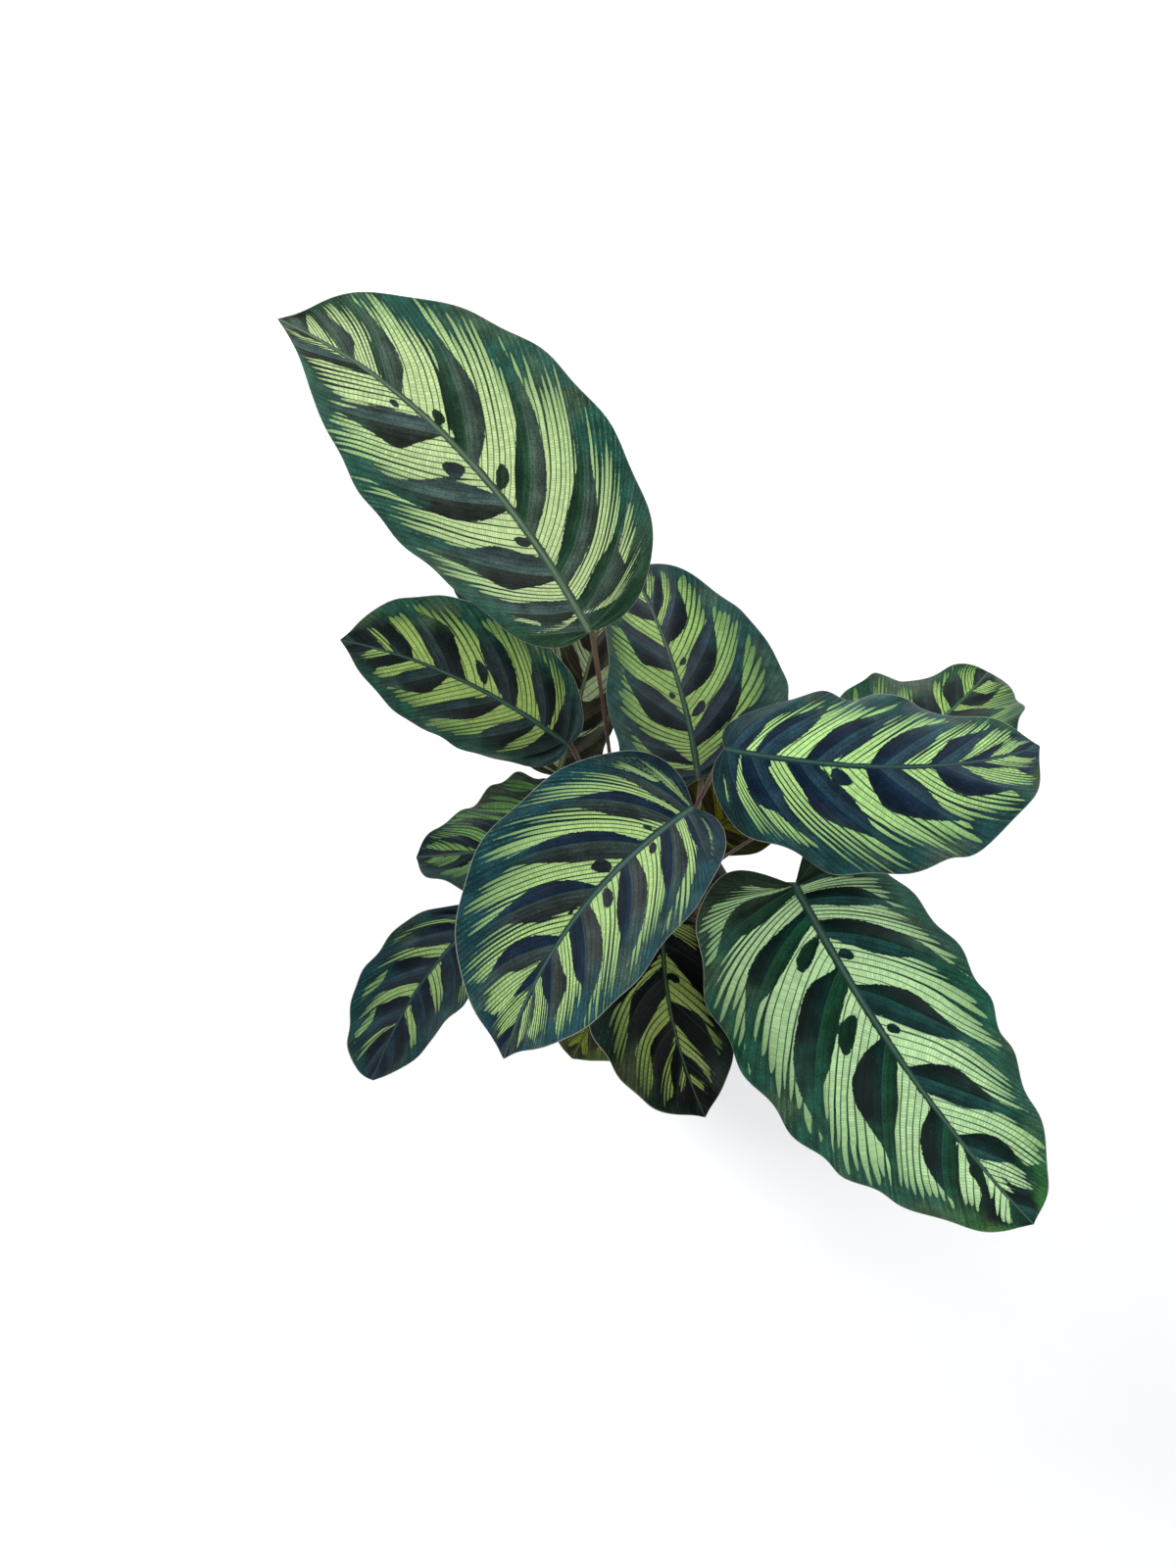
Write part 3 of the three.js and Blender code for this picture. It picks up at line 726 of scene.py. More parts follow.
def light_bands(s, f, fray):
    """Where the light bands are. Their sides are serrated cell by cell, and dark wedges open along the
    fine veins until each strip ends in a frayed point."""
    sides = s.plus(s.plus(s.attribute("light"), s.times(f.cell_chance, -SIDE_TEETH)), SIDE_REST)
    f.run = s.plus(s.attribute("tip"), s.times(f.strip_chance, -END_TEETH * fray))
    f.run = s.plus(f.run, END_REST * fray)
    opening = s.times(s.math("POWER", f.line_chance, 3), WEDGE_SPREAD * fray)
    wedge = s.math("DIVIDE", f.run, s.plus(opening, WEDGE_START * fray))
    wedge = s.math("POWER", s.math("MAXIMUM", wedge, 0.0), WEDGE_ROUNDNESS)
    wedge = s.minus(s.math("MINIMUM", wedge, WEDGE_WIDEST), f.strip_side)
    wedge = s.minus(s.times(wedge, f.half_strip), s.times(f.cell_chance, WEDGE_TEETH))
    f.is_light = s.ease(s.math("MINIMUM", sides, wedge), *BAND_BLUR)
    line_gap = s.times(s.minus(1.0, f.strip_side), s.math("MAXIMUM", f.half_strip, LEAST_STRIP))
    line_width = s.times(f.line_chance, s.ease(f.run, 0.1, 1.0, *LINE_WIDTHS))
    f.fine_line = s.ease(s.minus(line_gap, line_width), *LINE_BLUR)


def light_skin(s, f, tints):
    """The light bands, a little different from cell to cell and from strip to strip."""
    colour = s.mix(s.ease(f.share, 0.35, 0.9), tints["light"], tints["outer"])
    colour = s.shade(colour, s.line(f.cell_chance, 0.26, 0.88))
    colour = s.shade(colour, s.line(f.strip_chance, 0.14, 0.93))
    colour = s.shade(colour, s.ease(f.cross_line, 0.0, 1.0, 1.0, 0.7))
    colour = s.mix(s.ease(f.run, 0.3, 0.0, 0.0, 0.4), colour, tints["line"])
    return s.mix(s.times(f.fine_line, 0.92), colour, tints["line"])


def dark_skin(s, f, tints):
    """Dark blotches, in two tones that part along the primary vein, and the dark margin. The two tones are
    partly the leaf's own colour and partly painted sheen and reflection, lighter or bluer on one side of
    each pleat.
    """
    beside = s.off_middle(s.plus(f.vein, 0.5))
    vein_distance = s.math("ABSOLUTE", beside)
    # Painted sheen: each side of a pleat gets its own tint, partly the leaf's own tone and partly a
    # painted reflection of the room's light
    tone_and_sheen_side = s.ease(s.ease(vein_distance, 0.28, 0.5), 0.0, 1.0, s.ease(beside, -0.05, 0.05), 0.5)
    halves = [s.mix(tone_and_sheen_side, *tints[side]) for side in ("left", "right")]
    blotch = s.mix(s.math("GREATER_THAN", f.vein, RIGHT_HALF - 5), *halves)
    drift = s.noise(f.place, 0.12, 2.0)
    outer = s.ease(s.plus(f.share, s.times(drift, 0.3)), 0.62, 1.0)
    vein_gap = s.times(vein_distance, f.pitch)
    blotch = s.shade(blotch, s.ease(vein_gap, 0.3, 5.5, 1.25, 0.6))
    margin = s.mix(s.ease(f.turn, 0.74, 0.92), tints["margin"], tints["tip"])
    patch = s.times(s.ease(s.noise(f.place, 0.035, 3.0), 0.5, 0.66), 0.35)
    margin = s.mix(patch, margin, paint(DRY_MARGIN))
    dark = s.mix(outer, blotch, margin)
    dark = s.mix(s.ease(f.turn, 0.32, 0.18), dark, tints["base"])
    streaks = s.noise(s.join(f.strips, s.times(f.along, 0.12)), 0.9, 3.0, 0.6)
    for noise, darkest, lightest in ((f.mottle, 0.66, 1.4), (drift, 0.75, 1.25), (streaks, 0.78, 1.25)):
        dark = s.vary(dark, noise, darkest, lightest)
    dark = s.shade(dark, s.ease(f.fine_line, 0.0, 1.0, 1.0, 0.7))
    vein_line = s.times(s.ease(vein_gap, *VEIN_BLUR), s.ease(f.share, 0.85, 0.6))
    dark = s.mix(s.times(vein_line, 0.3), dark, tints["rib"])
    specks = s.times(s.ease(s.noise(f.place, 2.6, 2.0, 0.7), 0.64, 0.74), s.ease(drift, 0.4, 0.6))
    return s.mix(s.times(specks, 0.22), dark, paint(SPECK))


def add_midrib(s, f, colour, tint):
    threads = s.noise(s.join(s.times(f.rib, 3), s.times(f.turn, 16)), 1.0)
    rib = s.shade(tint, s.ease(threads, 0.35, 0.65, 0.72, 1.25))
    colour = s.mix(s.ease(f.rib, 2.6, 1.2), colour, s.shade(rib, 0.42))
    return s.mix(s.ease(f.rib, 1.3, 0.4), colour, rib)


def wine_skin(s, f):
    """The underside, wine red and paler where the bands are."""
    wine = s.mix(f.is_light, paint(WINE), paint(WINE_BAND))
    wine = s.mix(s.times(f.fine_line, 0.4), wine, paint(WINE_LINE))
    return s.mix(s.ease(f.rib, 1.3, 0.9), wine, paint(WINE_RIB))


def leaf_material(leaf):
    """A blade's skin, drawn from the fields that its mesh carries."""
    s = Shader("leaf_" + leaf["name"])
    tints = {"tip": leaf["tints"]["margin"], **leaf["tints"]}
    for name, tint in tints.items():
        tints[name] = [paint(t) for t in tint] if name in ("left", "right") else paint(tint)
    f = fine_veins(s, leaf)
    f.mottle = s.noise(f.place, 1.6, 3.0, 0.6)
    light_bands(s, f, leaf.get("fray", 1.0))
    colour = s.mix(f.is_light, dark_skin(s, f, tints), light_skin(s, f, tints))
    colour = add_midrib(s, f, colour, tints["rib"])
    colour = s.mix(s.ease(s.attribute("edge"), 0.5, 0.2, 0.0, 0.7), colour, paint(EDGE))
    colour = s.mix(s.attribute("under"), colour, wine_skin(s, f))
    roughness = s.ease(f.mottle, *NOISE_SPAN, 0.38, 0.5)
    s.finish({"Base Color": colour, "Roughness": roughness, "Specular IOR Level": 0.09})
    ridges = s.plus(s.times(f.fine_line, -0.5), s.times(f.cross_line, -0.18))
    s.bump(s.plus(ridges, s.times(f.mottle, 0.3)), 0.12 * MM, 0.6)
    return s.material


# Blade geometry


def unit(vectors):
    """Vectors of length 1, or 0 for a vector with no length."""
    return vectors / np.maximum(np.linalg.norm(vectors, axis=-1, keepdims=True), 1e-9)


def midrib_at(leaf, along):
    """Places on the midrib, and the blade's directions there: forward, left and up."""
    base, bend, tip = (np.array(leaf[k], float) for k in ("base", "bend", "tip"))
    t = np.asarray(along, float)[..., None]
    place = (1 - t) ** 2 * base + 2 * t * (1 - t) * bend + t * t * tip
    forward = unit((1 - t) * (bend - base) + t * (tip - bend))
    level = unit(np.cross(np.array([0.0, 0.0, 1.0]), forward))
    rise = np.cross(forward, level)
    roll = np.radians(leaf["tilt"] + leaf["twist"] * t)
    left = level * np.cos(roll) + rise * np.sin(roll)
    up = rise * np.cos(roll) - level * np.sin(roll)
    return place, forward, left, up


def swing(count, along, phase):
    return np.sin(2 * np.pi * (count * along + phase))


def blade_points(leaf, turn, share, side):
    """Points of a half's middle surface, their up direction, place along the midrib and width."""
    which = 0 if side > 0 else 1
    bulge = np.sin(np.pi * turn)
    middle = 0.5 * (1 - np.cos(np.pi * turn))
    lobe = leaf["heart"] * bulge * np.exp(-LOBE_FADE * turn)
    beak = np.where(turn > 0.5, leaf["beak"] * (1 - bulge) ** BEAK_SHARPNESS, 0)
    margin_along = (middle - lobe + beak) / (1 + leaf["beak"])
    calm_ends = 1 - (1 - bulge) ** 3
    rise, waves, wave_phase = leaf["wave"]
    size, ruffles, ruffle_phase = leaf["ruffle"]
    wave = calm_ends * swing(waves, middle, wave_phase[which])
    ruffle = calm_ends * swing(ruffles, middle, ruffle_phase[which])
    width = leaf["half_width"][which]
    margin_across = width * np.sin(np.pi * turn ** leaf["widest"]) + size * ruffle
    vein_start = middle**VEIN_CROWDING
    sweep = VEIN_STRAIGHTNESS * share + (1 - VEIN_STRAIGHTNESS) * share**2
    along = vein_start + (margin_along - vein_start) * sweep
    across = margin_across * share
    height = leaf["fold"] * across - leaf["curl"] * across**2 / width + rise * share**2 * wave
    place, _, left, up = midrib_at(leaf, along)
    point = place + side * left * across[..., None] + up * height[..., None]
    return point, up, along, across


def curve_through(shares, values, at):
    """A smooth curve through a few values, straight on beyond them, and level if there is one value."""
    if len(values) == 1:
        return np.full_like(at, values[0])
    x, y = np.array(shares[: len(values)], float), np.array(values, float)
    slope = np.gradient(y, x)
    inner = np.clip(at, x[0], x[-1])
    k = np.clip(np.searchsorted(x, inner) - 1, 0, len(x) - 2)
    step = x[k + 1] - x[k]
    t = (inner - x[k]) / step
    h00, h10 = 2 * t**3 - 3 * t**2 + 1, t**3 - 2 * t**2 + t
    h01, h11 = -2 * t**3 + 3 * t**2, t**3 - t**2
    curve = h00 * y[k] + h10 * step * slope[k] + h01 * y[k + 1] + h11 * step * slope[k + 1]
    before = np.where(at < x[0], slope[0] * (at - x[0]), 0)
    beyond = np.where(at > x[-1], slope[-1] * (at - x[-1]), 0)
    return curve + before + beyond


def steepness(points, turn, share):
    """A function that gives a field's change per mm from its change per turn and per share, and the mm
    that a whole share takes at each point."""
    by_turn = np.gradient(points, turn, axis=0)
    by_share = np.gradient(points, share, axis=1)
    e = (by_turn**2).sum(-1)
    f = (by_turn * by_share).sum(-1)
    g = (by_share**2).sum(-1)
    area = np.maximum(e * g - f * f, 1.0)

    def change(d_turn, d_share):
        square = (g * d_turn**2 - 2 * f * d_turn * d_share + e * d_share**2) / area
        return np.sqrt(np.maximum(square, 1e-6))

    return change, np.sqrt(g)


def vein_field(markings, turn, share):
    """Counts the primary veins from the stalk: a whole number on each of them."""
    veins = [curve_through(VEIN_SHARES, v, share[0]) for v in markings["veins"]]
    first, last = veins[0], veins[-1]
    field = np.where(turn <= first, BASE_VEINS * turn / first, 0.0)
    for k, (a, b) in enumerate(zip(veins, veins[1:])):
        between = (turn > a) & (turn <= b)
        field = np.where(between, BASE_VEINS + k + (turn - a) / (b - a), field)
    top = BASE_VEINS + len(veins) - 1
    return np.where(turn > last, top + TIP_VEINS * (turn - last) / (1 - last[0]), field)


def band_fields(markings, turn, share, change, per_share, further):
    """Depth inside the light bands in mm, and the share of its run that a strip still has to its end."""
    light = np.full(turn.shape, -30.0)
    tip = np.full(turn.shape, -30.0)
    for mark in markings["bands"]:
        end = mark["end"] + further
        near = curve_through(BAND_SHARES, mark["near"], share[0])
        far = curve_through(BAND_SHARES, mark["far"], share[0])
        depth = np.minimum(
            (turn - near) / change(1.0, -np.gradient(near, share[0])),
            (far - turn) / change(1.0, -np.gradient(far, share[0])),
        )
        depth = np.minimum(depth, (share - mark["start"]) / change(0.0, 1.0))
        ways = np.linspace(0, 1, 101)
        near_way = curve_through(BAND_SHARES, mark["near"], ways)
        far_way = curve_through(BAND_SHARES, mark["far"], ways)
        row = turn[:, :1]
        inside = (row > near_way) & (row < far_way) & (ways < end) & (ways > mark["start"])
        exits = np.where(inside, ways, 0).max(axis=1)
        crossed = np.flatnonzero(exits > 0)
        if len(crossed) == 0:
            continue
        exits = np.interp(turn[:, 0], turn[crossed, 0], exits[crossed])[:, None]
        left_over = (exits - share) / (exits - mark["start"])
        depth = np.minimum(depth, (end + BAND_FRINGE - share) * per_share)
        better = depth > light
        light = np.where(better, depth, light)
        tip = np.where(better, left_over, tip)
    for centre, start, end, size in markings["spots"]:
        outward = (2 * share - start - end) / (end - start)
        width = size * (1 + 0.35 * np.clip(outward, -1, 1))
        radius = np.hypot((turn - centre) / width, outward)
        light = np.minimum(light, (radius - 1) * width / change(1.0, 0.0))
    return light, tip


def half_fields(leaf, side):
    """One half's grid of points with all the fields that its skin is drawn from."""
    markings = leaf["left"] if side > 0 else leaf["right"]
    steps = np.linspace(0, 1, leaf["columns"] + 1)
    share_line = steps - 0.5 * np.sin(2 * np.pi * steps) / (2 * np.pi)
    turn_line = np.linspace(0, 1, leaf["rows"] + 1)
    turn, share = np.meshgrid(turn_line, share_line, indexing="ij")
    points, up, along, across = blade_points(leaf, turn, share, side)
    change, per_share = steepness(points, turn_line, share_line)
    outward = np.linalg.norm(np.diff(points, axis=1), axis=-1)
    length = np.concatenate([np.zeros((len(turn_line), 1)), np.cumsum(outward, axis=1)], axis=1)
    vein = vein_field(markings, turn, share)
    light, tip = band_fields(markings, turn, share, change, per_share, leaf.get("further", 0.0))
    vein_by_turn = np.maximum(np.gradient(vein, turn_line, axis=0), 1.0)
    vein_by_share = np.gradient(vein, share_line, axis=1)
    pitch = 1 / change(vein_by_turn, vein_by_share)
    outward_way = unit(np.gradient(points, share_line, axis=1))
    sideways = (np.gradient(points, turn_line, axis=0) * outward_way).sum(-1)
    slant = (sideways - np.gradient(length, turn_line, axis=0)) / vein_by_turn
    rib_width = RIB_HALF_WIDTH * leaf.get("rib", 1.0) * (1 - RIB_TAPER * along)
    calm = np.sin(np.pi * np.clip(turn, 0, 1)) * np.sin(np.pi * np.clip(share / 0.9, 0, 1)) ** 0.8
    pleat = PLEAT_HEIGHT * calm * np.cos(2 * np.pi * vein)
    pleat = pleat + 0.12 * calm * np.cos(4 * np.pi * vein + 1.0)
    rib_shape = np.exp(-((across / rib_width) ** 2))
    taper = np.clip(1.15 - along, 0, 1) * np.clip(turn * 12, 0, 1)
    thick = (EDGE_THICKNESS + (THICKNESS - EDGE_THICKNESS) * (1 - share**10)) / 2
    upper = points + up * (thick + pleat + RIB_RISE * rib_shape * taper)[..., None]
    lower = points + up * (-thick + pleat - RIB_DROP * rib_shape * taper)[..., None]
    return {
        "upper": upper, "lower": lower, "light": light, "tip": tip, "share": share, "turn": turn,
        "vein": vein + (0 if side > 0 else RIGHT_HALF), "along": length,
        "edge": length[:, -1:] - length, "rib": across / rib_width, "pitch": pitch, "slant": slant,
    }


FIELDS = ("vein", "light", "tip", "along", "edge", "rib", "share", "turn", "pitch", "slant")


def new_piece(name, points, faces, fields, material, slot, *nodes):
    """A smooth mesh piece from points in mm, which rides on the plant and stands for the nodes.

    A point outside the box of the solids is moved onto it. That is so for a dozen points at the edges of
    two leaves, by 0.14 mm at most.
    """
    mesh = bpy.data.meshes.new(name)
    inside = np.clip(np.asarray(points) * MM, solid_low, solid_high)
    mesh.from_pydata(inside.tolist(), [], faces)
    for field, values in fields.items():
        attribute = mesh.attributes.new(field, "FLOAT", "POINT")
        attribute.data.foreach_set("value", np.asarray(values, np.float32).ravel())
    mesh.materials.append(material)
    mesh.polygons.foreach_set("use_smooth", [True] * len(mesh.polygons))
    mesh.update()
    piece = bpy.data.objects.new(name, mesh)
    bpy.context.scene.collection.objects.link(piece)
    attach(piece, "root")
    if nodes:
        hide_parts(*nodes)
    return piece


def build_blade(leaf):
    halves = [half_fields(leaf, 1), half_fields(leaf, -1)]

    def across_both(field):
        """The left margin, the midrib and the right margin in one row."""
        return np.concatenate([halves[0][field][:, :0:-1], halves[1][field]], axis=1)

    upper, lower = across_both("upper"), across_both("lower")
    rows, columns = upper.shape[0] - 1, upper.shape[1] - 1
    inner = (rows - 1) * (columns + 1)
    index = np.zeros((rows + 1, columns + 1), int)
    index[1:rows] = 1 + np.arange(inner).reshape(rows - 1, columns + 1)
    index[rows] = inner + 1
    count = inner + 2

    def flat(grid):
        """A grid's values in the order of the mesh's points, with one point at each end."""
        return np.concatenate([grid[:1, columns // 2], grid[1:rows].reshape(inner, *grid.shape[2:]),
                               grid[-1:, columns // 2]])

    points = np.concatenate([flat(upper), flat(lower)])
    fields = {name: np.tile(flat(across_both(name)), 2) for name in FIELDS}
    fields["under"] = np.repeat([0.0, 1.0], count)
    faces = []
    for i in range(rows):
        for j in range(columns):
            corners = [index[i, j], index[i, j + 1], index[i + 1, j + 1], index[i + 1, j]]
            face = [int(c) for c in dict.fromkeys(corners)]
            faces.append(face)
            faces.append([c + count for c in reversed(face)])
        for j, step in ((0, 1), (columns, -1)):
            a, b = int(index[i, j]), int(index[i + 1, j])
            faces.append([a, b, b + count, a + count][::step])
    material = leaf_material(leaf)
    name = leaf["name"]
    return new_piece("blade_" + name, points, faces, fields, material, "leaf", "leaf_" + name)


# Stalks


def cubic(start, after_start, before_end, end, t):
    """Points on the smooth curve that leaves start towards after_start and comes in from before_end."""
    curve = (1 - t) ** 3 * start + 3 * t * (1 - t) ** 2 * after_start
    return curve + 3 * t**2 * (1 - t) * before_end + t**3 * end


def stalk_line(leaf):
    """The stalk's centre line from its foot to its joint, and on under the blade."""
    place, forward, _, up = midrib_at(leaf, 0.0)
    outward = np.array([forward[0], forward[1], 0.0])
    lean = np.array([*leaf["lean"], 0.0]) if "lean" in leaf else OUTWARD_LEAN * unit(outward)
    rising = unit(np.array([0, 0, 1.0]) + lean)
    slant = math.sqrt(1 - float(rising @ up) ** 2)
    clearance = SOLID_BLADE / 2 + STALK_TOP_GAP + (STALK_RADIUS + JOINT_SWELL) * slant
    top = place - up * clearance
    foot = np.array([*leaf["foot"], SOIL_EDGE_HEIGHT + SOIL_MOUND - STALK_DEPTH])
    height = np.linalg.norm(top - foot)
    sway = np.array([*leaf.get("sway", (0, 0)), 0.0])
    after_foot = foot + sway + np.array([0, 0, RISE_SHARE * height])
    before_top = top + sway - rising * ARRIVAL_SHARE * height
    stem = cubic(foot, after_foot, before_top, top, np.linspace(0, 1, STALK_STEPS)[:, None])
    end = place + forward * NECK_LENGTH - up * NECK_DROP
    after_top = top + unit(top - before_top) * NECK_PULLS[0]
    before_end = end - forward * NECK_PULLS[1]
    neck = cubic(top, after_top, before_end, end, np.linspace(0, 1, NECK_STEPS)[1:, None])
    return stem, neck


def round_faces(rings, sides, first, start, end):
    """Faces of a closed round body whose rings of points begin at first, with its two end points."""
    faces = []
    for i in range(rings - 1):
        a, b = first + i * sides, first + (i + 1) * sides
        for j in range(sides):
            k = (j + 1) % sides
            faces.append([a + j, a + k, b + k, b + j])
    last = first + (rings - 1) * sides
    for j in range(sides):
        k = (j + 1) % sides
        faces.append([start, first + k, first + j])
        faces.append([end, last + j, last + k])
    return faces


def tube(line, radii, sides):
    """Points and faces of a closed round tube along a line."""
    forward = unit(np.gradient(line, axis=0))
    side = unit(np.cross(forward[0], [0.0, 1.0, 0.1]))
    rings = []
    for place, way, radius in zip(line, forward, radii):
        side = unit(side - way * (side @ way))
        other = np.cross(way, side)
        angle = np.linspace(0, 2 * np.pi, sides, endpoint=False)[:, None]
        rings.append(place + radius * (side * np.cos(angle) + other * np.sin(angle)))
    points = np.concatenate(rings + [line[:1], line[-1:]])
    return points, round_faces(len(line), sides, 0, len(points) - 2, len(points) - 1)


def stalk_material():
    s = Shader("stalk")
    place = s.place()
    height = s.attribute("height")
    joint = s.attribute("joint")
    stretched = s.node("VectorMath", operation="MULTIPLY")
    s.put(stretched.inputs[0], place)
    stretched.inputs[1].default_value = (1.0, 1.0, 0.06)
    streaks = s.noise(stretched.outputs[0], 1.6, 3.0, 0.6)
    colour = s.mix(s.ease(streaks, *NOISE_SPAN), paint((42, 20, 18)), paint((76, 36, 28)))
    colour = s.mix(s.ease(height, 0.3, 0.0), colour, paint((86, 84, 44)))
    colour = s.mix(joint, colour, s.mix(streaks, paint((54, 36, 22)), paint((86, 62, 34))))
    s.finish({"Base Color": colour, "Roughness": s.line(streaks, 0.25, 0.35)})
    s.bump(streaks, 0.25 * MM, 0.6)
    return s.material


def build_stalk(leaf, material):
    stem, neck = stalk_line(leaf)
    share = np.linspace(0, 1, STALK_STEPS)
    swell = 1 / (1 + np.exp(-(share - JOINT_START) / JOINT_SOFTNESS))
    stem_radii = STALK_RADIUS + SHEATH_SWELL * np.exp(-share / SHEATH_SHARE) + JOINT_SWELL * swell
    u = np.linspace(0, 1, NECK_STEPS)[1:]
    neck_radii = (STALK_RADIUS + JOINT_SWELL) * (1 - u) + NECK_END_RADIUS * u
    slimming = 1 - (1 - STALK_SLIMNESS) * np.clip(share * 8, 0, 1)
    radii = np.concatenate([stem_radii * slimming, neck_radii * STALK_SLIMNESS])
    points, faces = tube(np.concatenate([stem, neck]), radii, STALK_SIDES)

    def on_rings(along_stem):
        values = np.concatenate([along_stem, np.ones(len(neck))])
        return np.concatenate([np.repeat(values, STALK_SIDES), values[:1], values[-1:]])

    fields = {"height": on_rings(share), "joint": on_rings(swell)}
    name = leaf["name"]
    return new_piece("stem_" + name, points, faces, fields, material, "stalk", "stalk_" + name)


# Pot and soil


def lathe(profile, sides):
    """Points and faces of a round body from its profile of radius and height, axis to axis."""
    angle = np.linspace(0, 2 * np.pi, sides, endpoint=False)
    inner = profile[1:-1]
    points = [[0, 0, profile[0][1]], [0, 0, profile[-1][1]]]
    for radius, height in inner:
        ring = [radius * np.cos(angle), radius * np.sin(angle), np.full(sides, height)]
        points.extend(np.stack(ring, -1))
    return np.array(points), round_faces(len(inner), sides, 2, 0, 1)


def inner_radius(height):
    wall_top = POT_HEIGHT - RIM_HEIGHT
    slope = (POT_TOP_RADIUS - POT_BOTTOM_RADIUS) / wall_top
    return POT_BOTTOM_RADIUS + slope * min(height, wall_top) - POT_WALL


def pot_material():
    s = Shader("pot")
    place = s.place()
    grain = s.noise(place, 3.0, 4.0, 0.6)
    dust = s.ease(s.noise(place, 0.08, 4.0, 0.65), 0.5, 0.75)
    colour = s.mix(s.times(dust, 0.25), paint((30, 32, 34)), paint((92, 84, 74)))
    s.finish({"Base Color": colour, "Roughness": s.line(grain, 0.2, 0.38)})
    s.bump(grain, 0.08 * MM, 0.5)
    return s.material


def drill_holes(pot):
    """Opens the drain holes in the pot's floor."""
    drills = bmesh.new()
    for i in range(DRAIN_HOLES):
        angle = 2 * math.pi * i / DRAIN_HOLES
        place = (DRAIN_CIRCLE * math.cos(angle) * MM, DRAIN_CIRCLE * math.sin(angle) * MM, 0)
        bmesh.ops.create_cone(
            drills, cap_ends=True, segments=48, radius1=DRAIN_RADIUS * MM, radius2=DRAIN_RADIUS * MM,
            depth=4 * POT_FLOOR * MM, matrix=Matrix.Translation(place),
        )
    mesh = bpy.data.meshes.new("drills")
    drills.to_mesh(mesh)
    drills.free()
    tool = bpy.data.objects.new("drills", mesh)
    bpy.context.scene.collection.objects.link(tool)
    cut = pot.modifiers.new("holes", "BOOLEAN")
    cut.operation = "DIFFERENCE"
    cut.solver = "EXACT"
    cut.object = tool
    graph = bpy.context.evaluated_depsgraph_get()
    holed = bpy.data.meshes.new_from_object(pot.evaluated_get(graph))
    pot.modifiers.clear()
    pot.data = holed
    bpy.data.objects.remove(tool)


def rounded(radius, height, inward, upward):
    """Three points round a corner, from its level side to its upright side."""
    return [
        (radius + inward * ROUNDING, height),
        (radius + inward * ROUNDING_MIDDLE, height + upward * ROUNDING_MIDDLE),
        (radius, height + upward * ROUNDING),
    ]


def build_pot():
    wall_top = POT_HEIGHT - RIM_HEIGHT
    inside = inner_radius(wall_top)
    profile = [
        (0, 0), *rounded(POT_BOTTOM_RADIUS, 0, -1, 1), (POT_TOP_RADIUS, wall_top),
        *rounded(RIM_RADIUS, wall_top, -1, 1), *reversed(rounded(RIM_RADIUS, POT_HEIGHT, -1, -1)),
        *rounded(inside, POT_HEIGHT, 1, -1), (inside, wall_top),
        (inner_radius(POT_FLOOR), POT_FLOOR), (0, POT_FLOOR),
    ]
    points, faces = lathe(profile, 144)
    pot = new_piece("nursery_pot", points, faces, {}, pot_material(), "pot", "pot")
    drill_holes(pot)
    return pot


def soil_material():
    s = Shader("soil")
    place = s.place()
    crumb = s.noise(place, 0.9, 4.0, 0.7)
    colour = s.mix(s.ease(crumb, *NOISE_SPAN), paint((30, 20, 14)), paint((78, 56, 40)))
    s.finish({"Base Color": colour, "Roughness": 0.95})
    s.bump(crumb, 0.8 * MM, 0.8)
    return s.material


def soil_height(radius, edge):
    shares = [0, 0.5 * edge, 0.8 * edge, edge]
    heights = [SOIL_MOUND, 0.9 * SOIL_MOUND, 0.5 * SOIL_MOUND, 0]
    return SOIL_EDGE_HEIGHT + np.interp(radius, shares, heights)


def build_soil():
    rng = np.random.default_rng(11)
    edge = inner_radius(SOIL_EDGE_HEIGHT) - SOIL_GAP
    sides = 180
    bottom = POT_FLOOR + SOIL_GAP
    profile = [(0, bottom), (inner_radius(POT_FLOOR) - SOIL_GAP, bottom), (edge, SOIL_EDGE_HEIGHT)]
    for radius in np.linspace(edge - 0.6, 1.0, 64):
        profile.append((radius, soil_height(radius, edge)))
    profile.append((0, soil_height(0, edge)))
    points, faces = lathe(profile, sides)
    top = np.arange(len(points)) >= 2 + 2 * sides
    waves = rng.normal(size=(60, 2)) * np.linspace(0.2, 2.2, 60)[:, None]
    phases = rng.uniform(0, 2 * np.pi, 60)
    lumps = np.zeros(len(points))
    for wave, phase in zip(waves, phases):
        lumps += np.sin(points[:, :2] @ wave + phase) * 0.22
    fade = np.clip((edge - np.hypot(points[:, 0], points[:, 1])) / 2, 0, 1)
    points[:, 2] += np.where(top, lumps * fade, 0)
    return new_piece("potting_soil", points, faces, {}, soil_material(), "soil", "soil")


def crumb_material():
    s = Shader("crumb")
    place = s.place()
    grain = s.noise(place, 2.2, 3.0, 0.6)
    kind = s.attribute("kind")
    bark = s.mix(kind, paint((44, 28, 18)), paint((104, 72, 46)))
    colour = s.mix(s.math("GREATER_THAN", kind, 0.93), bark, paint((214, 210, 200)))
    colour = s.vary(colour, grain, 0.65, 1.2)
    s.finish({"Base Color": colour, "Roughness": 0.92})
    s.bump(grain, 0.3 * MM, 0.8)
    return s.material


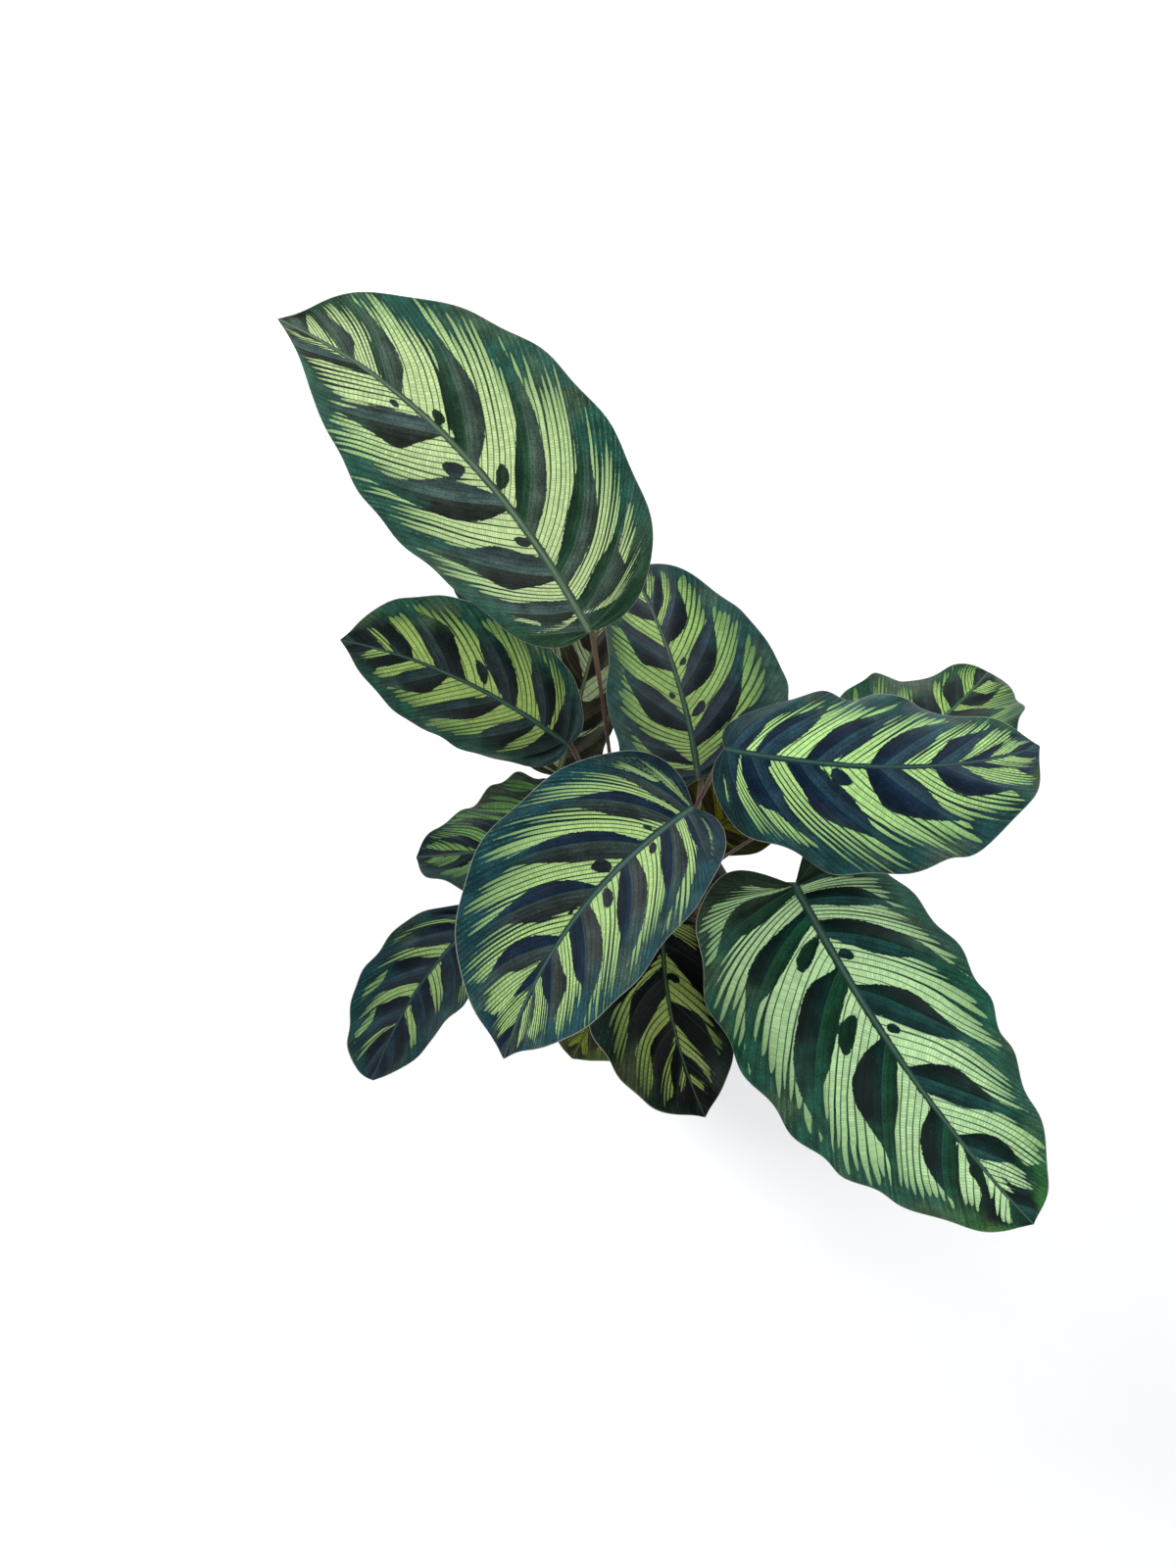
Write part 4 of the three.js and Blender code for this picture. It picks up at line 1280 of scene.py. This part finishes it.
def build_crumbs():
    """Crumbs of bark and peat on the soil, and a few pale grains among them."""
    rng = np.random.default_rng(23)
    edge = inner_radius(SOIL_EDGE_HEIGHT) - 1.5
    ball = bmesh.new()
    bmesh.ops.create_icosphere(ball, subdivisions=1, radius=1.0)
    shape = np.array([v.co[:] for v in ball.verts])
    shape_faces = [[v.index for v in f.verts] for f in ball.faces]
    ball.free()
    points, faces, kinds = [], [], []
    for i in range(CRUMBS):
        size = rng.uniform(0.5, 1.0) * (2.2 if i % 9 == 0 else 1.2)
        kind = rng.uniform(0, 1)
        radius = (edge - size) * math.sqrt(rng.uniform(0, 1))
        angle = rng.uniform(0, 2 * math.pi)
        stretch = np.array([size, size * rng.uniform(0.5, 0.9), size * rng.uniform(0.4, 0.7)])
        rough = shape * rng.uniform(0.75, 1.15, (len(shape), 1)) * stretch
        turn, lean = rng.uniform(0, 2 * math.pi), rng.uniform(-0.5, 0.5)
        c, s, cl, sl = math.cos(turn), math.sin(turn), math.cos(lean), math.sin(lean)
        tilted = rough @ np.array([[cl, 0, sl], [0, 1, 0], [-sl, 0, cl]]).T
        turned = tilted @ np.array([[c, -s, 0], [s, c, 0], [0, 0, 1]]).T
        x, y = radius * math.cos(angle), radius * math.sin(angle)
        height = soil_height(radius, edge) + 0.25 * size
        faces += [[v + len(points) * len(shape) for v in face] for face in shape_faces]
        points.append(turned + [x, y, height])
        kinds += [kind] * len(shape)
    fields = {"kind": kinds}
    return new_piece("soil_crumbs", np.concatenate(points), faces, fields, crumb_material(), "soil")


# The photograph's view, a plain pale floor and soft light


def add_camera():
    data = bpy.data.cameras.new("camera")
    data.sensor_width = FILM_MM
    data.lens = CAMERA_FOCAL_PX / PHOTO_HEIGHT_PX * FILM_MM
    data.clip_start = 0.01
    data.clip_end = 20
    camera = bpy.data.objects.new("camera", data)
    camera.location = Vector(CAMERA_PLACE) * MM
    camera.rotation_euler = (math.radians(CAMERA_PITCH_DEG), 0, 0)
    bpy.context.scene.collection.objects.link(camera)
    bpy.context.scene.camera = camera


def add_light(name, place, size, power, tint=(1, 1, 1)):
    data = bpy.data.lights.new(name, "AREA")
    data.shape = "DISK"
    data.size = size
    data.energy = power
    data.color = tint
    light = bpy.data.objects.new(name, data)
    light.location = place
    light.rotation_euler = (Vector(LIGHT_AIM) - Vector(place)).to_track_quat("-Z", "Y").to_euler()
    bpy.context.scene.collection.objects.link(light)


def add_stage():
    """A pale floor, which glows with distance so that it fades into the room."""
    mesh = bpy.data.meshes.new("floor")
    corners = [(x * FLOOR_REACH, y * FLOOR_REACH, 0) for x, y in ((-1, -1), (1, -1), (1, 1), (-1, 1))]
    mesh.from_pydata(corners, [], [(0, 1, 2, 3)])
    s = Shader("floor")
    distance = s.node("VectorMath", operation="LENGTH")
    s.put(distance.inputs[0], s.place())
    glow = s.ease(distance.outputs["Value"], 900.0, 3500.0, 0.06, 0.62)
    s.finish({"Base Color": (0.97, 0.97, 0.97, 1), "Roughness": 0.9, "Emission Color": (1, 1, 1, 1),
              "Emission Strength": glow})
    mesh.materials.append(s.material)
    floor = bpy.data.objects.new("floor", mesh)
    bpy.context.scene.collection.objects.link(floor)
    bpy.context.scene.view_settings.view_transform = "Standard"


def add_room():
    """Soft light from all round, dimmer from straight above, where the leaves would mirror it."""
    world = bpy.data.worlds.new("room")
    world.use_nodes = True
    nodes, links = world.node_tree.nodes, world.node_tree.links
    height = nodes.new("ShaderNodeSeparateXYZ")
    links.new(nodes.new("ShaderNodeTexCoord").outputs["Generated"], height.inputs[0])
    glow = nodes.new("ShaderNodeMapRange")
    glow.interpolation_type = "SMOOTHSTEP"
    links.new(height.outputs["Z"], glow.inputs["Value"])
    for name, value in (("From Min", 0.35), ("From Max", 0.95), ("To Min", 1.0), ("To Max", 0.15)):
        glow.inputs[name].default_value = value
    background = nodes["Background"]
    background.inputs["Color"].default_value = (0.92, 0.96, 1.0, 1)
    links.new(glow.outputs[0], background.inputs["Strength"])
    bpy.context.scene.world = world
    add_light("window", (-1.5, 1.5, 1.7), 1.5, 50)
    add_light("door", (1.9, 0.6, 1.5), 1.2, 22)
    add_light("lamp", (-0.6, -2.0, 1.6), 1.2, 16, (1.0, 0.98, 0.95))


add_camera()
add_stage()
add_room()
stalk_skin = stalk_material()
for leaf in LEAVES:
    build_blade(leaf)
    build_stalk(leaf, stalk_skin)
build_pot()
build_soil()
build_crumbs()
